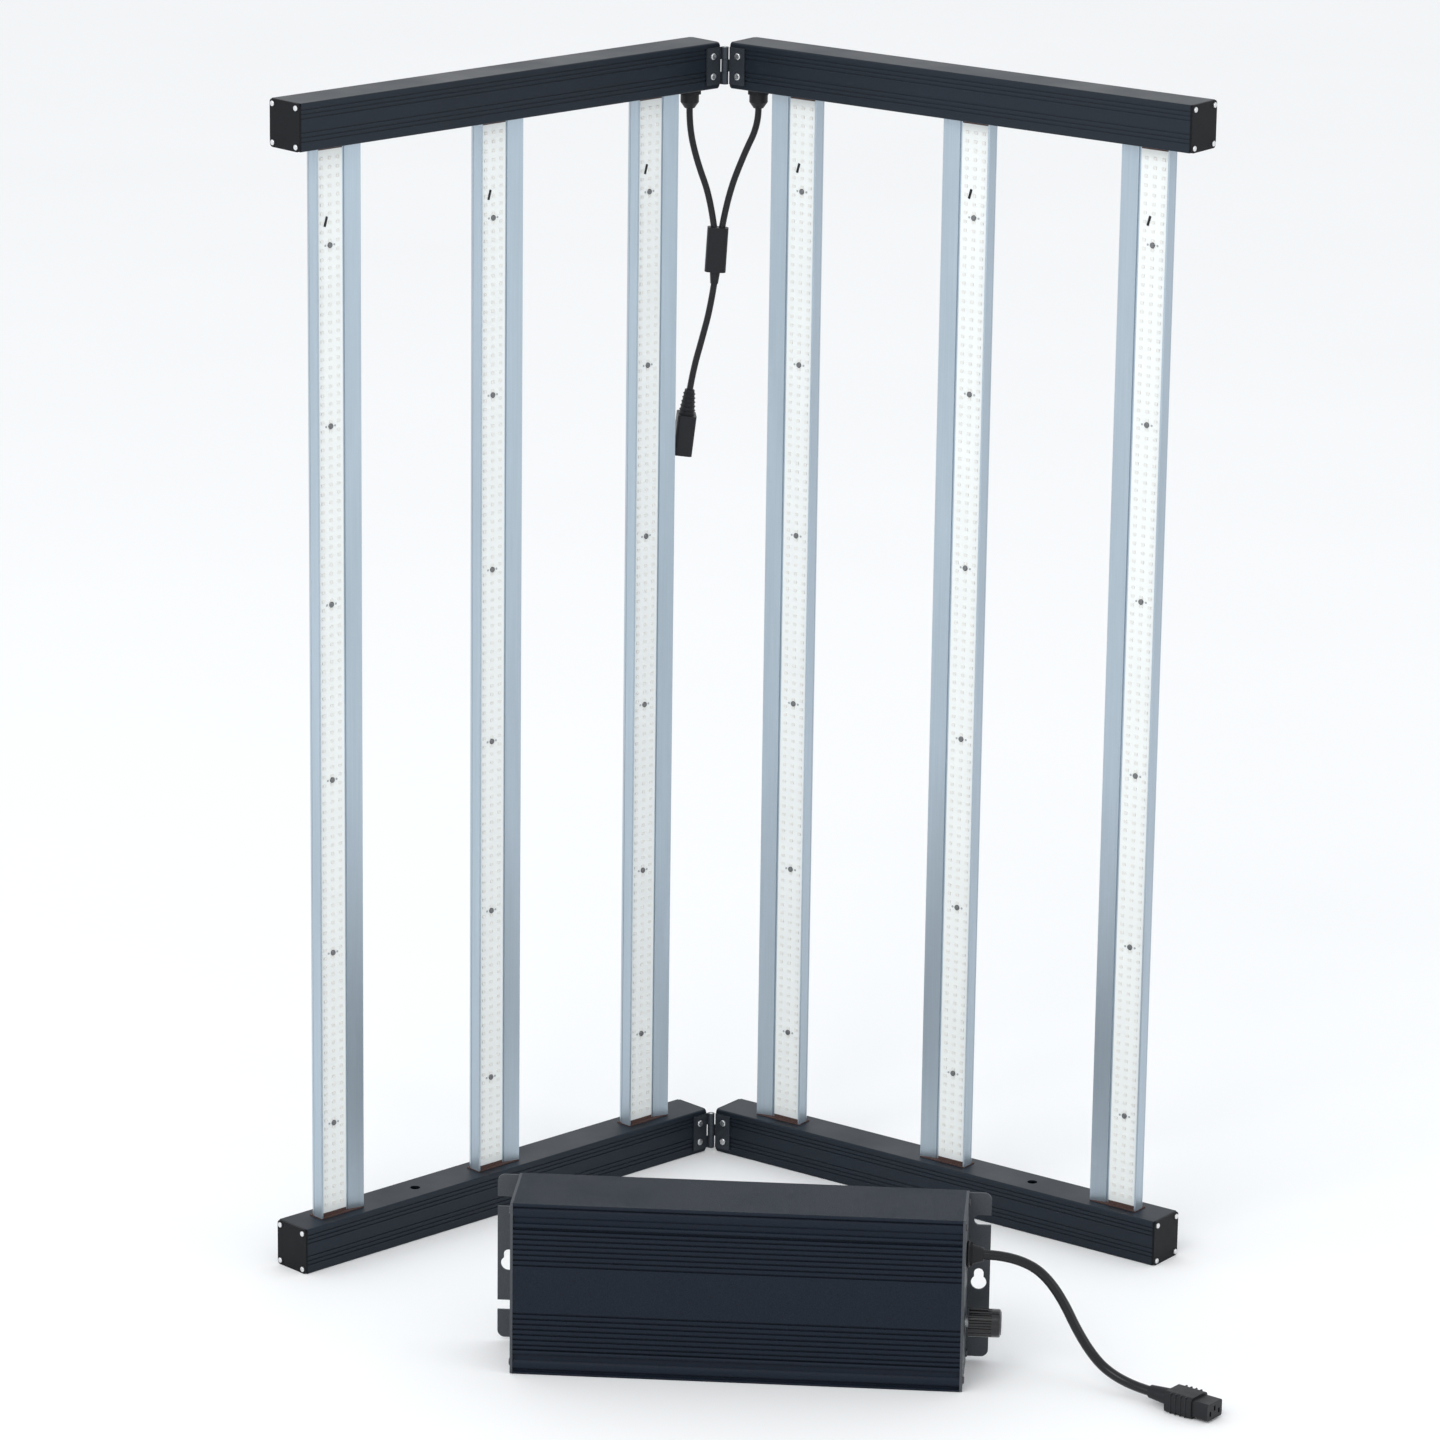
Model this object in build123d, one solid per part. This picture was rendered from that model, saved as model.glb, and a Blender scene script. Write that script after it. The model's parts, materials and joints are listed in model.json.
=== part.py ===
from build123d import *
import math
import os

# A folding LED grow light that stands half folded, and the separate driver that feeds it.
# Millimetres, +Z up.  The light is made of two mirrored wings.  Each wing is drawn in its own
# axes: X runs outwards from the hinge axis, Y runs backwards from the LED side, Z is up.

# ---- stance
FOLD_ANGLE = 100.0       # angle between the two LED faces as the light stands
LIGHT_TURN = 8.0         # how far the light is turned about Z from the driver's axes
WING_TILT = 90.0 - FOLD_ANGLE / 2

# ---- rails
RAIL_LENGTH = 534.0
RAIL_DEPTH = 43.0
RAIL_HEIGHT = 46.0
RAIL_WALL = 2.0
RAIL_CORNER = 1.5
GROOVE_WIDTH = 1.5
GROOVE_DEPTH = 0.8
GROOVE_SHARES = (0.13, 0.22, 0.31, 0.60, 0.70, 0.79)   # down the face, as shares of its height
CAP_PORT_INSET = 4.6     # cap screw port from the rail's two outer faces
CAP_PORT_WALL = 1.6
CABLE_HOLE_AT = 377.0    # along the bottom rail from its inner end
CABLE_HOLE_R = 5.0
WIRE_HOLE_R = 4.0

# ---- light bars
BAR_LENGTH = 1066.0      # between the rails, seals included
BAR_COUNT = 3            # bars in one wing
BAR_FIRST = 41.5         # inner edge of the first bar from the rail's inner end
BAR_PITCH = 205.0
BAR_WIDTH = 54.0
BAR_DEPTH = 18.0
FLANGE_WIDTH = 17.0      # reflector flange on the hinge side
LIP_WIDTH = 2.0          # lip on the outer side
SEAT_DEPTH = 5.0         # board seat behind the bar's front
WEB_THICKNESS = 2.4
FIN_THICKNESS = 1.6
FIN_SHARES = (0.06, 0.34, 0.46, 0.58, 0.86)            # across the web
PORT_SHARES = (0.20, 0.72)                             # bar screw ports, across the web
SEAL_THICKNESS = 1.0
SEAL_STRIP = 3.5         # strip of the seal that closes the end of the board channel

# ---- LED boards
BOARD_WIDTH = 31.0
BOARD_THICKNESS = 1.6
BOARD_SIDE_GAP = 1.0     # from the board to the outer lip
BOARD_SCREW_COUNT = 6
BOARD_SCREW_PITCH = 174.8

# ---- hinge
HINGE_GAP = 5.0          # rail's inner end from the hinge axis
LEAF_THICKNESS = 1.6
LEAF_HEIGHT = 37.0
LEAF_REACH = 17.0        # onto the rail's face
BARREL_R = 3.6
PIN_R = 1.5
PIN_CLEARANCE = 0.05
KNUCKLE_GAP = 0.3
LEAF_SCREW_AT = 9.0
LEAF_SCREW_SPACING = 20.0

# ---- caps, screws, brackets
OUTER_CAP = 2.5
INNER_CAP = 1.5
CAP_CORNER = 4.0
CAP_SCREW_R = 1.6
CAP_SCREW_HEAD_R = 2.7
CAP_SCREW_HEAD = 1.6
CAP_SCREW_LENGTH = 9.0
M4_R = 2.0
M4_HEAD_R = 3.4
M4_HEAD = 1.6
M4_LENGTH = 8.0
BRACKET_AT = 267.0       # along the rail from its inner end
BRACKET_FOOT = 30.0
BRACKET_FOOT_HEIGHT = 20.0
BRACKET_THICKNESS = 2.0
BRACKET_TAB = 20.0
BRACKET_HOLE_R = 4.0
BRACKET_SCREW_SPACING = 20.0

# ---- cable glands and terminal blocks
GLAND_AT = 18.4          # along the top rail from its inner end
GLAND_THREAD_R = 8.0
GLAND_HEX = 20.0
GLAND_HEX_HEIGHT = 6.0
GLAND_NUT_R = 9.2
GLAND_NUT_HEIGHT = 8.0
GLAND_DOME = 6.0
GLAND_TIP_R = 5.0
LOCKNUT_HEIGHT = 3.5
BLOCK_LENGTH = 40.0
BLOCK_DEPTH = 16.0
BLOCK_HEIGHT = 14.0
BLOCK_AT = 110.0

# ---- two-into-one lead
LEAD_D = 6.5
LEAD_GAP = 0.4           # from the right branch to the gland that swings away from it
SPLITTER_WIDTH = 21.0
SPLITTER_THICKNESS = 12.0
SPLITTER_BODY = 45.0
SPLITTER_NECK = 12.0
SPLITTER_NECK_R = 5.2
PLUG_TILT = 6.5
PLUG_RELIEF = 25.0
PLUG_BODY = 41.0
PLUG_WIDTH = 27.6
PLUG_THICKNESS = 19.0
SOCKET_WIDTH = 24.4      # the recess that the connector's nose fits
SOCKET_HEIGHT = 16.8
SOCKET_DEPTH = 16.5
BLADE_LENGTH = 10.0
BLADE_SPACING = 14.0
BLADE_RISE = 4.0

# ---- driver
DRIVER_LENGTH = 420.0
DRIVER_DEPTH = 86.0
DRIVER_HEIGHT = 170.0
DRIVER_WALL = 4.5
DRIVER_X = 74.0          # driver's middle from the hinge axis
DRIVER_CLEARANCE = 4.0   # from the circle that the folding wing sweeps
END_PLATE = 2.5
FIN_PITCH = 5.2
FIN_BAND = 41.0          # height of one group of fins
FIN_BAND_EDGE = 27.0     # from the top or bottom face to the group
FIN_CUT = 1.6
FIN_CUT_WIDTH = 2.0
DRIVER_CORNER = 1.5
TRIM_EDGE = 2.4          # ledge beside the top or bottom face
TRIM_RECESS = 2.8        # depth behind the bulge and the bead
BULGE_R = 6.2
BULGE_AT = 9.2           # from the top or bottom face
BEAD_R = 2.2
BEAD_AT = 21.8
CIRCUIT_INSET = 17.0     # from the driver's front and back to its circuit board
CIRCUIT_HALF_WIDTH = DRIVER_DEPTH / 2 - CIRCUIT_INSET
CIRCUIT_END = 30.0
CIRCUIT_RISE = 8.0
CIRCUIT_THICKNESS = 2.0
CIRCUIT_MARGIN = 2.0     # from the board's edge to what stands on it
HEAT_STRIP = 12.0        # strip of the board under the heat blocks
HEAT_BLOCKS = 6
HEAT_BLOCK_PITCH = 56.0
CAN_SHARE = 13.5         # of the half width that the capacitors leave
MOUNT_FLANGE = 21.0
MOUNT_FLANGE_THICKNESS = 2.5
MOUNT_FLANGE_CORNER = 7.0
MOUNT_SLOT = 10.0
MOUNT_SLOT_DEPTH = 16.0
MOUNT_SLOT_HEIGHTS = (36.6, 141.0)
KEYHOLE_R = 7.3
KEYHOLE_NECK_R = 4.5
KEYHOLE_RISE = 9.5
KEYHOLE_HEIGHT = 78.6
END_SCREW_INSET = 9.0
KNOB_R = 13.5
KNOB_LENGTH = 30.0
KNOB_HEIGHT = 54.0
SHAFT_R = 3.0
SHAFT_CLEARANCE = 0.05
BUSH_R = 4.7
OUTPUT_HEIGHT = 122.0    # output gland above the floor
OUTPUT_GLAND_R = 11.0
OUTPUT_GLAND_LENGTH = 16.0
OUTPUT_CORD_D = 9.5
INLET_HEIGHT = 60.0
CONNECTOR_RELIEF = 24.0
CONNECTOR_GRIP = 30.0
CONNECTOR_NOSE = 17.5
CONNECTOR_NOSE_WIDTH = 24.0
CONNECTOR_NOSE_HEIGHT = 16.4
CONNECTOR_GRIP_WIDTH = 27.0
CONNECTOR_HEADING = -34.0

# ---- routes of the cords, chosen by hand
# lead: across the light through both glands, and height
LEAD_LEFT = [(-34.1, 1092.0), (-34.1, 1072.0), (-26.0, 1038.0), (-12.6, 1002.0), (-8.4, 972.2)]
LEAD_RIGHT = [(34.1, 1091.6), (34.1, 1075.0), (20.6, 1046.0), (5.0, 1004.0), (-0.4, 971.8)]
LEAD_TAIL = [(-7.6, 914.9), (-11.2, 890.0), (-19.2, 858.0), (-27.2, 828.0), (-30.6, 807.0)]
# driver's output cord, from the driver's middle at floor level
OUTPUT_CORD = [
    (228.5, 0.0, 122.0),
    (257.5, 0.0, 122.0),
    (293.8, -3.6, 101.2),
    (328.0, -12.4, 33.8),
    (360.0, -26.6, 10.4),
    (388.6, -45.8, 10.4),
]

# ---- sizes that follow
LIGHT_HEIGHT = BAR_LENGTH + 2 * RAIL_HEIGHT
HINGE_OFFSET = BARREL_R                      # rails' front face behind the hinge axis
BAR_SETBACK = (RAIL_DEPTH - BAR_DEPTH) / 2
TOP_RAIL_Z = LIGHT_HEIGHT - RAIL_HEIGHT
RAIL_MID_Y = HINGE_OFFSET + RAIL_DEPTH / 2
BAR_FRONT_Y = HINGE_OFFSET + BAR_SETBACK
RAIL_END_X = HINGE_GAP + RAIL_LENGTH
WING_REACH = RAIL_END_X + OUTER_CAP + CAP_SCREW_HEAD
WING_BACK = HINGE_OFFSET + RAIL_DEPTH
SWEEP_R = math.hypot(WING_REACH, WING_BACK)
DRIVER_BACK_Y = -(SWEEP_R + DRIVER_CLEARANCE)
DRIVER_Y = DRIVER_BACK_Y - DRIVER_DEPTH / 2
HINGE_MIDS = (RAIL_HEIGHT / 2, LIGHT_HEIGHT - RAIL_HEIGHT / 2)
LEAD_TILT = math.radians(WING_TILT)
LEAD_PLANE_Y = RAIL_MID_Y * math.cos(LEAD_TILT) - (HINGE_GAP + GLAND_AT) * math.sin(LEAD_TILT)
SPLITTER_TILT = 3.2
BAR_STARTS = [HINGE_GAP + BAR_FIRST + BAR_PITCH * k for k in range(BAR_COUNT)]
BOARD_SCREW_HEIGHTS = [
    LIGHT_HEIGHT / 2 + BOARD_SCREW_PITCH * (k - (BOARD_SCREW_COUNT - 1) / 2)
    for k in range(BOARD_SCREW_COUNT)
]


def turned(x, y, degrees):
    """Point (x, y) turned about Z."""
    a = math.radians(degrees)
    return x * math.cos(a) - y * math.sin(a), x * math.sin(a) + y * math.cos(a)


def wing_turn(side):
    return LIGHT_TURN + (WING_TILT if side == "left" else -WING_TILT)


def wing_point(side, x, y):
    """A wing's own (x, y), seen from the hinge axis in the row's directions."""
    return turned(-x if side == "left" else x, y, wing_turn(side))


def row_origin():
    """Middle of the box round the light and the driver, from the hinge axis."""
    xs = [DRIVER_X - DRIVER_LENGTH / 2, DRIVER_X + DRIVER_LENGTH / 2]
    ys = [DRIVER_BACK_Y - DRIVER_DEPTH]
    for side in ("left", "right"):
        for x in (HINGE_GAP - INNER_CAP, RAIL_END_X + OUTER_CAP):
            for y in (HINGE_OFFSET, WING_BACK):
                px, py = wing_point(side, x, y)
                xs.append(px)
                ys.append(py)
    return (min(xs) + max(xs)) / 2, (min(ys) + max(ys)) / 2


ORIGIN_X, ORIGIN_Y = row_origin()
TO_ROW = Location((-ORIGIN_X, -ORIGIN_Y, 0))
TO_DRIVER = Location((DRIVER_X - ORIGIN_X, DRIVER_Y - ORIGIN_Y, 0))


def save(name, shapes):
    """One STEP for each node: a single solid, or a group of separate ones."""
    shapes = [s for shape in shapes for s in shape.solids()]
    whole = shapes[0] if len(shapes) == 1 else Compound(shapes)
    export_step(whole, f"parts/{name}.step")


def save_wing(name, side, shapes):
    """Save shapes that are drawn in the wing's own axes."""
    turn = Location((0, 0, 0), (0, 0, wing_turn(side)))
    placed = [s.mirror(Plane.YZ) if side == "left" else s for s in shapes]
    save(f"{name}_{side}", [TO_ROW * turn * s for s in placed])


def box(x0, x1, y0, y1, z0, z1):
    return Pos((x0 + x1) / 2, (y0 + y1) / 2, (z0 + z1) / 2) * Box(x1 - x0, y1 - y0, z1 - z0)


def rod(radius, start, direction, length):
    """A round bar from start along direction."""
    return Plane(start, z_dir=direction) * Cylinder(
        radius, length, align=(Align.CENTER, Align.CENTER, Align.MIN)
    )


def pan_screw(seat, direction, radius, head_r, head, length):
    """A pan-head screw whose head rests on seat; direction points down its shank."""
    out = Vector(*direction) * -1
    top = rod(head_r, seat, out, head)
    top = fillet(top.edges().sort_by(Axis(seat, out))[-1], head * 0.55)
    return top + rod(radius, seat, direction, length)


# ---------------------------------------------------------------- rails

def rail_section():
    """Closed tube with corner screw ports and fine grooves; local X is depth, Y is height."""
    outer = RectangleRounded(RAIL_DEPTH, RAIL_HEIGHT, RAIL_CORNER)
    inner = Rectangle(RAIL_DEPTH - 2 * RAIL_WALL, RAIL_HEIGHT - 2 * RAIL_WALL)
    section = outer - inner
    port_x = RAIL_DEPTH / 2 - CAP_PORT_INSET
    port_y = RAIL_HEIGHT / 2 - CAP_PORT_INSET
    for sx in (-1, 1):
        for sy in (-1, 1):
            block = 2 * (CAP_SCREW_R + CAP_PORT_WALL)
            section += Pos(sx * port_x, sy * port_y) * Rectangle(block, block)
    for sx in (-1, 1):
        for sy in (-1, 1):
            section -= Pos(sx * port_x, sy * port_y) * Circle(CAP_SCREW_R)
        for share in GROOVE_SHARES:
            groove = Pos(sx * RAIL_DEPTH / 2, RAIL_HEIGHT * (0.5 - share))
            section -= groove * Rectangle(2 * GROOVE_DEPTH, GROOVE_WIDTH)
    return section


def rail(level):
    """level is "top" or "bottom"; the bars stand between the two."""
    low = TOP_RAIL_Z if level == "top" else 0.0
    plane = Plane((HINGE_GAP, RAIL_MID_Y, low + RAIL_HEIGHT / 2), x_dir=(0, 1, 0), z_dir=(1, 0, 0))
    body = extrude(plane * rail_section(), RAIL_LENGTH)
    wall_z = low if level == "top" else low + RAIL_HEIGHT - RAIL_WALL
    for start in BAR_STARTS:
        body -= rod(WIRE_HOLE_R, (start + BAR_WIDTH * 0.66, BAR_MID_Y, wall_z), (0, 0, 1), RAIL_WALL)
        for x in bar_port_xs(start):
            body -= rod(M4_R, (x, BAR_PORT_Y, wall_z), (0, 0, 1), RAIL_WALL)
    if level == "top":
        seat = (HINGE_GAP + GLAND_AT, RAIL_MID_Y, wall_z)
        body -= rod(GLAND_THREAD_R, seat, (0, 0, 1), RAIL_WALL)
    else:
        seat = (HINGE_GAP + CABLE_HOLE_AT, RAIL_MID_Y, wall_z)
        body -= rod(CABLE_HOLE_R, seat, (0, 0, 1), RAIL_WALL)
    for z in leaf_screw_heights(low + RAIL_HEIGHT / 2):
        hole = (HINGE_GAP + LEAF_SCREW_AT, HINGE_OFFSET, z)
        body -= rod(M4_R, hole, (0, 1, 0), RAIL_WALL)
    for x in bracket_screw_xs():
        hole = (x, WING_BACK - RAIL_WALL, low + RAIL_HEIGHT / 2)
        body -= rod(M4_R, hole, (0, 1, 0), RAIL_WALL)
    return body


def cap_screw_points(low):
    """(y, z) of the four cap screws of a rail whose underside is at low."""
    near, far = HINGE_OFFSET + CAP_PORT_INSET, WING_BACK - CAP_PORT_INSET
    return [(y, z) for y in (near, far) for z in (low + CAP_PORT_INSET, low + RAIL_HEIGHT - CAP_PORT_INSET)]


def end_cap(x, thickness, low):
    plane = Plane((x, RAIL_MID_Y, low + RAIL_HEIGHT / 2), x_dir=(0, 1, 0), z_dir=(1, 0, 0))
    plate = extrude(plane * RectangleRounded(RAIL_DEPTH, RAIL_HEIGHT, CAP_CORNER), thickness)
    for y, z in cap_screw_points(low):
        plate -= rod(CAP_SCREW_R, (x, y, z), (1, 0, 0), thickness)
    return plate


def cap_screws(low):
    screws = []
    for y, z in cap_screw_points(low):
        outer = (RAIL_END_X + OUTER_CAP, y, z)
        inner = (HINGE_GAP - INNER_CAP, y, z)
        size = (CAP_SCREW_R, CAP_SCREW_HEAD_R, CAP_SCREW_HEAD, CAP_SCREW_LENGTH)
        screws.append(pan_screw(outer, (-1, 0, 0), *size))
        screws.append(pan_screw(inner, (1, 0, 0), *size))
    return screws


# ---------------------------------------------------------------- light bars and boards

WEB_START = FLANGE_WIDTH + 0.6
WEB_BACK = SEAT_DEPTH + WEB_THICKNESS
BAR_PORT_R = M4_R + 1.8
BAR_PORT_DEPTH = BAR_DEPTH - BAR_PORT_R
BAR_PORT_Y = BAR_FRONT_Y + BAR_PORT_DEPTH
BAR_MID_Y = BAR_FRONT_Y + BAR_DEPTH * 0.66


def web_x(share):
    """A place across the web, from the flange to the outer wall."""
    return WEB_START + share * (BAR_WIDTH - WEB_START)


def bar_port_xs(start):
    return [start + web_x(share) for share in PORT_SHARES]


def bar_section():
    """Open finned extrusion; local X from the hinge side outwards, Y backwards from its front."""
    chamfer_x, chamfer_y = 3.4, BAR_DEPTH * 0.30
    groove = 0.8
    flange_t = LIP_WIDTH - 0.2
    outline = Polyline(
        (0, 0),
        (FLANGE_WIDTH - 0.8, SEAT_DEPTH - 0.2),
        (FLANGE_WIDTH - 0.1, SEAT_DEPTH + 0.9),
        (WEB_START, SEAT_DEPTH),
        (BAR_WIDTH - LIP_WIDTH, SEAT_DEPTH),
        (BAR_WIDTH - LIP_WIDTH, 0),
        (BAR_WIDTH, 0),
        (BAR_WIDTH, BAR_DEPTH - chamfer_y - 2 * groove),
        (BAR_WIDTH - groove, BAR_DEPTH - chamfer_y - groove),
        (BAR_WIDTH - groove / 4, BAR_DEPTH - chamfer_y - groove / 2),
        (BAR_WIDTH - chamfer_x, BAR_DEPTH),
        (BAR_WIDTH - chamfer_x - LIP_WIDTH, BAR_DEPTH),
        (BAR_WIDTH - LIP_WIDTH, BAR_DEPTH - chamfer_y - 1),
        (BAR_WIDTH - LIP_WIDTH, WEB_BACK),
        (FLANGE_WIDTH - 1, WEB_BACK),
        (0, flange_t),
        close=True,
    )
    section = make_face(outline)
    for share in FIN_SHARES:
        height = BAR_DEPTH - WEB_BACK
        section += Pos(web_x(share), WEB_BACK + height / 2) * Rectangle(FIN_THICKNESS, height)
    for share in PORT_SHARES:
        stem = BAR_PORT_DEPTH - WEB_BACK
        section += Pos(web_x(share), WEB_BACK + stem / 2) * Rectangle(2 * BAR_PORT_R, stem)
        section += Pos(web_x(share), BAR_PORT_DEPTH) * Circle(BAR_PORT_R)
    for share in PORT_SHARES:
        section -= Pos(web_x(share), BAR_PORT_DEPTH) * Circle(M4_R)
    return section


def board_x(start):
    return start + BAR_WIDTH - LIP_WIDTH - BOARD_SIDE_GAP - BOARD_WIDTH


def bar(start):
    low = RAIL_HEIGHT + SEAL_THICKNESS
    length = BAR_LENGTH - 2 * SEAL_THICKNESS
    body = extrude(Pos(start, BAR_FRONT_Y, low) * bar_section(), length)
    for z in BOARD_SCREW_HEIGHTS:
        seat = (board_x(start) + BOARD_WIDTH / 2, BAR_FRONT_Y + SEAT_DEPTH, z)
        body -= rod(CAP_SCREW_R, seat, (0, 1, 0), WEB_THICKNESS)
    return body


def board(start):
    x = board_x(start)
    front = BAR_FRONT_Y + SEAT_DEPTH - BOARD_THICKNESS
    end = RAIL_HEIGHT + SEAL_THICKNESS + SEAL_STRIP
    plate = box(x, x + BOARD_WIDTH, front, front + BOARD_THICKNESS, end, LIGHT_HEIGHT - end)
    for z in BOARD_SCREW_HEIGHTS:
        seat = (x + BOARD_WIDTH / 2, front, z)
        plate -= rod(CAP_SCREW_R, seat, (0, 1, 0), BOARD_THICKNESS)
    return plate


def board_screws(start):
    front = BAR_FRONT_Y + SEAT_DEPTH - BOARD_THICKNESS
    length = BOARD_THICKNESS + WEB_THICKNESS
    seats = [(board_x(start) + BOARD_WIDTH / 2, front, z) for z in BOARD_SCREW_HEIGHTS]
    return [pan_screw(s, (0, 1, 0), CAP_SCREW_R, CAP_SCREW_HEAD_R, CAP_SCREW_HEAD, length) for s in seats]


def bar_seals(start):
    """The rubber pad at each end of a bar, with the strip that closes the board channel."""
    seals = []
    for low, strip_low in (
        (RAIL_HEIGHT, RAIL_HEIGHT + SEAL_THICKNESS),
        (TOP_RAIL_Z - SEAL_THICKNESS, TOP_RAIL_Z - SEAL_THICKNESS - SEAL_STRIP),
    ):
        front, back = BAR_FRONT_Y, BAR_FRONT_Y + BAR_DEPTH
        pad = box(start, start + BAR_WIDTH, front, back, low, low + SEAL_THICKNESS)
        for x in bar_port_xs(start):
            pad -= rod(M4_R, (x, BAR_PORT_Y, low), (0, 0, 1), SEAL_THICKNESS)
        seat = front + SEAT_DEPTH
        strip_x = board_x(start)
        pad += box(
            strip_x, strip_x + BOARD_WIDTH, seat - BOARD_THICKNESS, seat, strip_low, strip_low + SEAL_STRIP
        )
        seals.append(pad)
    return seals


# ---------------------------------------------------------------- screws on the rails

def leaf_screw_heights(mid):
    return (mid - LEAF_SCREW_SPACING / 2, mid + LEAF_SCREW_SPACING / 2)


def bracket_screw_xs():
    mid = HINGE_GAP + BRACKET_AT
    return (mid - BRACKET_SCREW_SPACING / 2, mid + BRACKET_SCREW_SPACING / 2)


def m4_screws():
    """The identical M4 screws of one wing: hinge leaves, hanging brackets and bar ends."""
    size = (M4_R, M4_HEAD_R, M4_HEAD, M4_LENGTH)
    screws = []
    for mid in HINGE_MIDS:
        for z in leaf_screw_heights(mid):
            seat = (HINGE_GAP + LEAF_SCREW_AT, HINGE_OFFSET - LEAF_THICKNESS, z)
            screws.append(pan_screw(seat, (0, 1, 0), *size))
        for x in bracket_screw_xs():
            seat = (x, WING_BACK + BRACKET_THICKNESS, mid)
            screws.append(pan_screw(seat, (0, -1, 0), *size))
    for start in BAR_STARTS:
        for x in bar_port_xs(start):
            top = (x, BAR_PORT_Y, TOP_RAIL_Z + RAIL_WALL)
            bottom = (x, BAR_PORT_Y, RAIL_HEIGHT - RAIL_WALL)
            screws.append(pan_screw(top, (0, 0, -1), *size))
            screws.append(pan_screw(bottom, (0, 0, 1), *size))
    return screws


# ---------------------------------------------------------------- hinge

def knuckle_spans(side, mid):
    """The left leaf holds the pin in its two end knuckles, the right leaf turns between them."""
    third = LEAF_HEIGHT / 3
    gap = KNUCKLE_GAP / 2
    low, high = mid - LEAF_HEIGHT / 2, mid + LEAF_HEIGHT / 2
    if side == "left":
        return [(low, low + third - gap), (high - third + gap, high)]
    return [(low + third + gap, high - third - gap)]


def hinge_leaf(side, mid):
    clear = BARREL_R + KNUCKLE_GAP
    front = HINGE_OFFSET - LEAF_THICKNESS
    low, high = mid - LEAF_HEIGHT / 2, mid + LEAF_HEIGHT / 2
    leaf = box(clear, HINGE_GAP + LEAF_REACH, front, HINGE_OFFSET, low, high)
    bore = PIN_R + (PIN_CLEARANCE if side == "right" else 0)
    for z0, z1 in knuckle_spans(side, mid):
        leaf += rod(BARREL_R, (0, 0, z0), (0, 0, 1), z1 - z0)
        leaf += box(0, clear, front, HINGE_OFFSET, z0, z1)
    for z0, z1 in knuckle_spans(side, mid):
        leaf -= rod(bore, (0, 0, z0), (0, 0, 1), z1 - z0)
    for z in leaf_screw_heights(mid):
        leaf -= rod(M4_R, (HINGE_GAP + LEAF_SCREW_AT, front, z), (0, 1, 0), LEAF_THICKNESS)
    return leaf


def hinge_pins():
    return [rod(PIN_R, (0, 0, mid - LEAF_HEIGHT / 2), (0, 0, 1), LEAF_HEIGHT) for mid in HINGE_MIDS]


# ---------------------------------------------------------------- hanging brackets

def hanging_bracket(mid):
    """A small steel angle on the rail's back, with a round hole for a hanging hook."""
    x = HINGE_GAP + BRACKET_AT
    foot_y = WING_BACK + BRACKET_THICKNESS
    tab_y = foot_y + BRACKET_TAB
    half = BRACKET_FOOT / 2
    foot = box(
        x - half, x + half, WING_BACK, foot_y, mid - BRACKET_FOOT_HEIGHT / 2, mid + BRACKET_FOOT_HEIGHT / 2
    )
    low = mid + BRACKET_FOOT_HEIGHT / 2 - BRACKET_THICKNESS
    tab = box(x - half, x + half, foot_y, tab_y, low, low + BRACKET_THICKNESS)
    tab = fillet(tab.edges().filter_by(Axis.Z).group_by(Axis.Y)[-1], BRACKET_FOOT * 0.3)
    bracket = foot + tab
    bracket -= rod(BRACKET_HOLE_R, (x, tab_y - BRACKET_TAB / 2, low), (0, 0, 1), BRACKET_THICKNESS)
    for sx in bracket_screw_xs():
        bracket -= rod(M4_R, (sx, WING_BACK, mid), (0, 1, 0), BRACKET_THICKNESS)
    return bracket


# ---------------------------------------------------------------- glands and terminal blocks

GLAND_X = HINGE_GAP + GLAND_AT


def gland_body():
    """Hexagon under the rail's wall, with the thread that passes through it."""
    plane = Plane((GLAND_X, RAIL_MID_Y, TOP_RAIL_Z), z_dir=(0, 0, -1))
    hexagon = extrude(plane * RegularPolygon(GLAND_HEX / 2, 6, major_radius=False), GLAND_HEX_HEIGHT)
    thread = RAIL_WALL + LOCKNUT_HEIGHT + 1
    return hexagon + rod(GLAND_THREAD_R, (GLAND_X, RAIL_MID_Y, TOP_RAIL_Z), (0, 0, 1), thread)


def gland_nuts():
    """The domed clamping nut below, and the locknut inside the rail."""
    top = TOP_RAIL_Z - GLAND_HEX_HEIGHT
    nut = rod(GLAND_NUT_R, (GLAND_X, RAIL_MID_Y, top), (0, 0, -1), GLAND_NUT_HEIGHT)
    plane = Plane((GLAND_X, RAIL_MID_Y, top - GLAND_NUT_HEIGHT - GLAND_DOME / 2), z_dir=(0, 0, -1))
    nut += plane * Cone(GLAND_NUT_R, GLAND_TIP_R, GLAND_DOME)
    seat = Plane((GLAND_X, RAIL_MID_Y, TOP_RAIL_Z + RAIL_WALL))
    lock = extrude(seat * RegularPolygon(GLAND_HEX / 2, 6, major_radius=False), LOCKNUT_HEIGHT)
    lock -= rod(GLAND_THREAD_R, seat.origin, (0, 0, 1), LOCKNUT_HEIGHT)
    return [nut, lock]


def terminal_block():
    """Screw terminals inside the top rail, where the lead's wires meet the bars' wires."""
    low = TOP_RAIL_Z + RAIL_WALL
    x0 = HINGE_GAP + BLOCK_AT
    y0, y1 = RAIL_MID_Y - BLOCK_DEPTH / 2, RAIL_MID_Y + BLOCK_DEPTH / 2
    block = box(x0, x0 + BLOCK_LENGTH, y0, y1, low, low + BLOCK_HEIGHT)
    pitch = BLOCK_LENGTH / 4
    for k in range(4):
        x = x0 + pitch * (k + 0.5)
        block -= rod(pitch * 0.3, (x, RAIL_MID_Y, low + BLOCK_HEIGHT / 2), (0, 0, 1), BLOCK_HEIGHT / 2)
    return block


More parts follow.
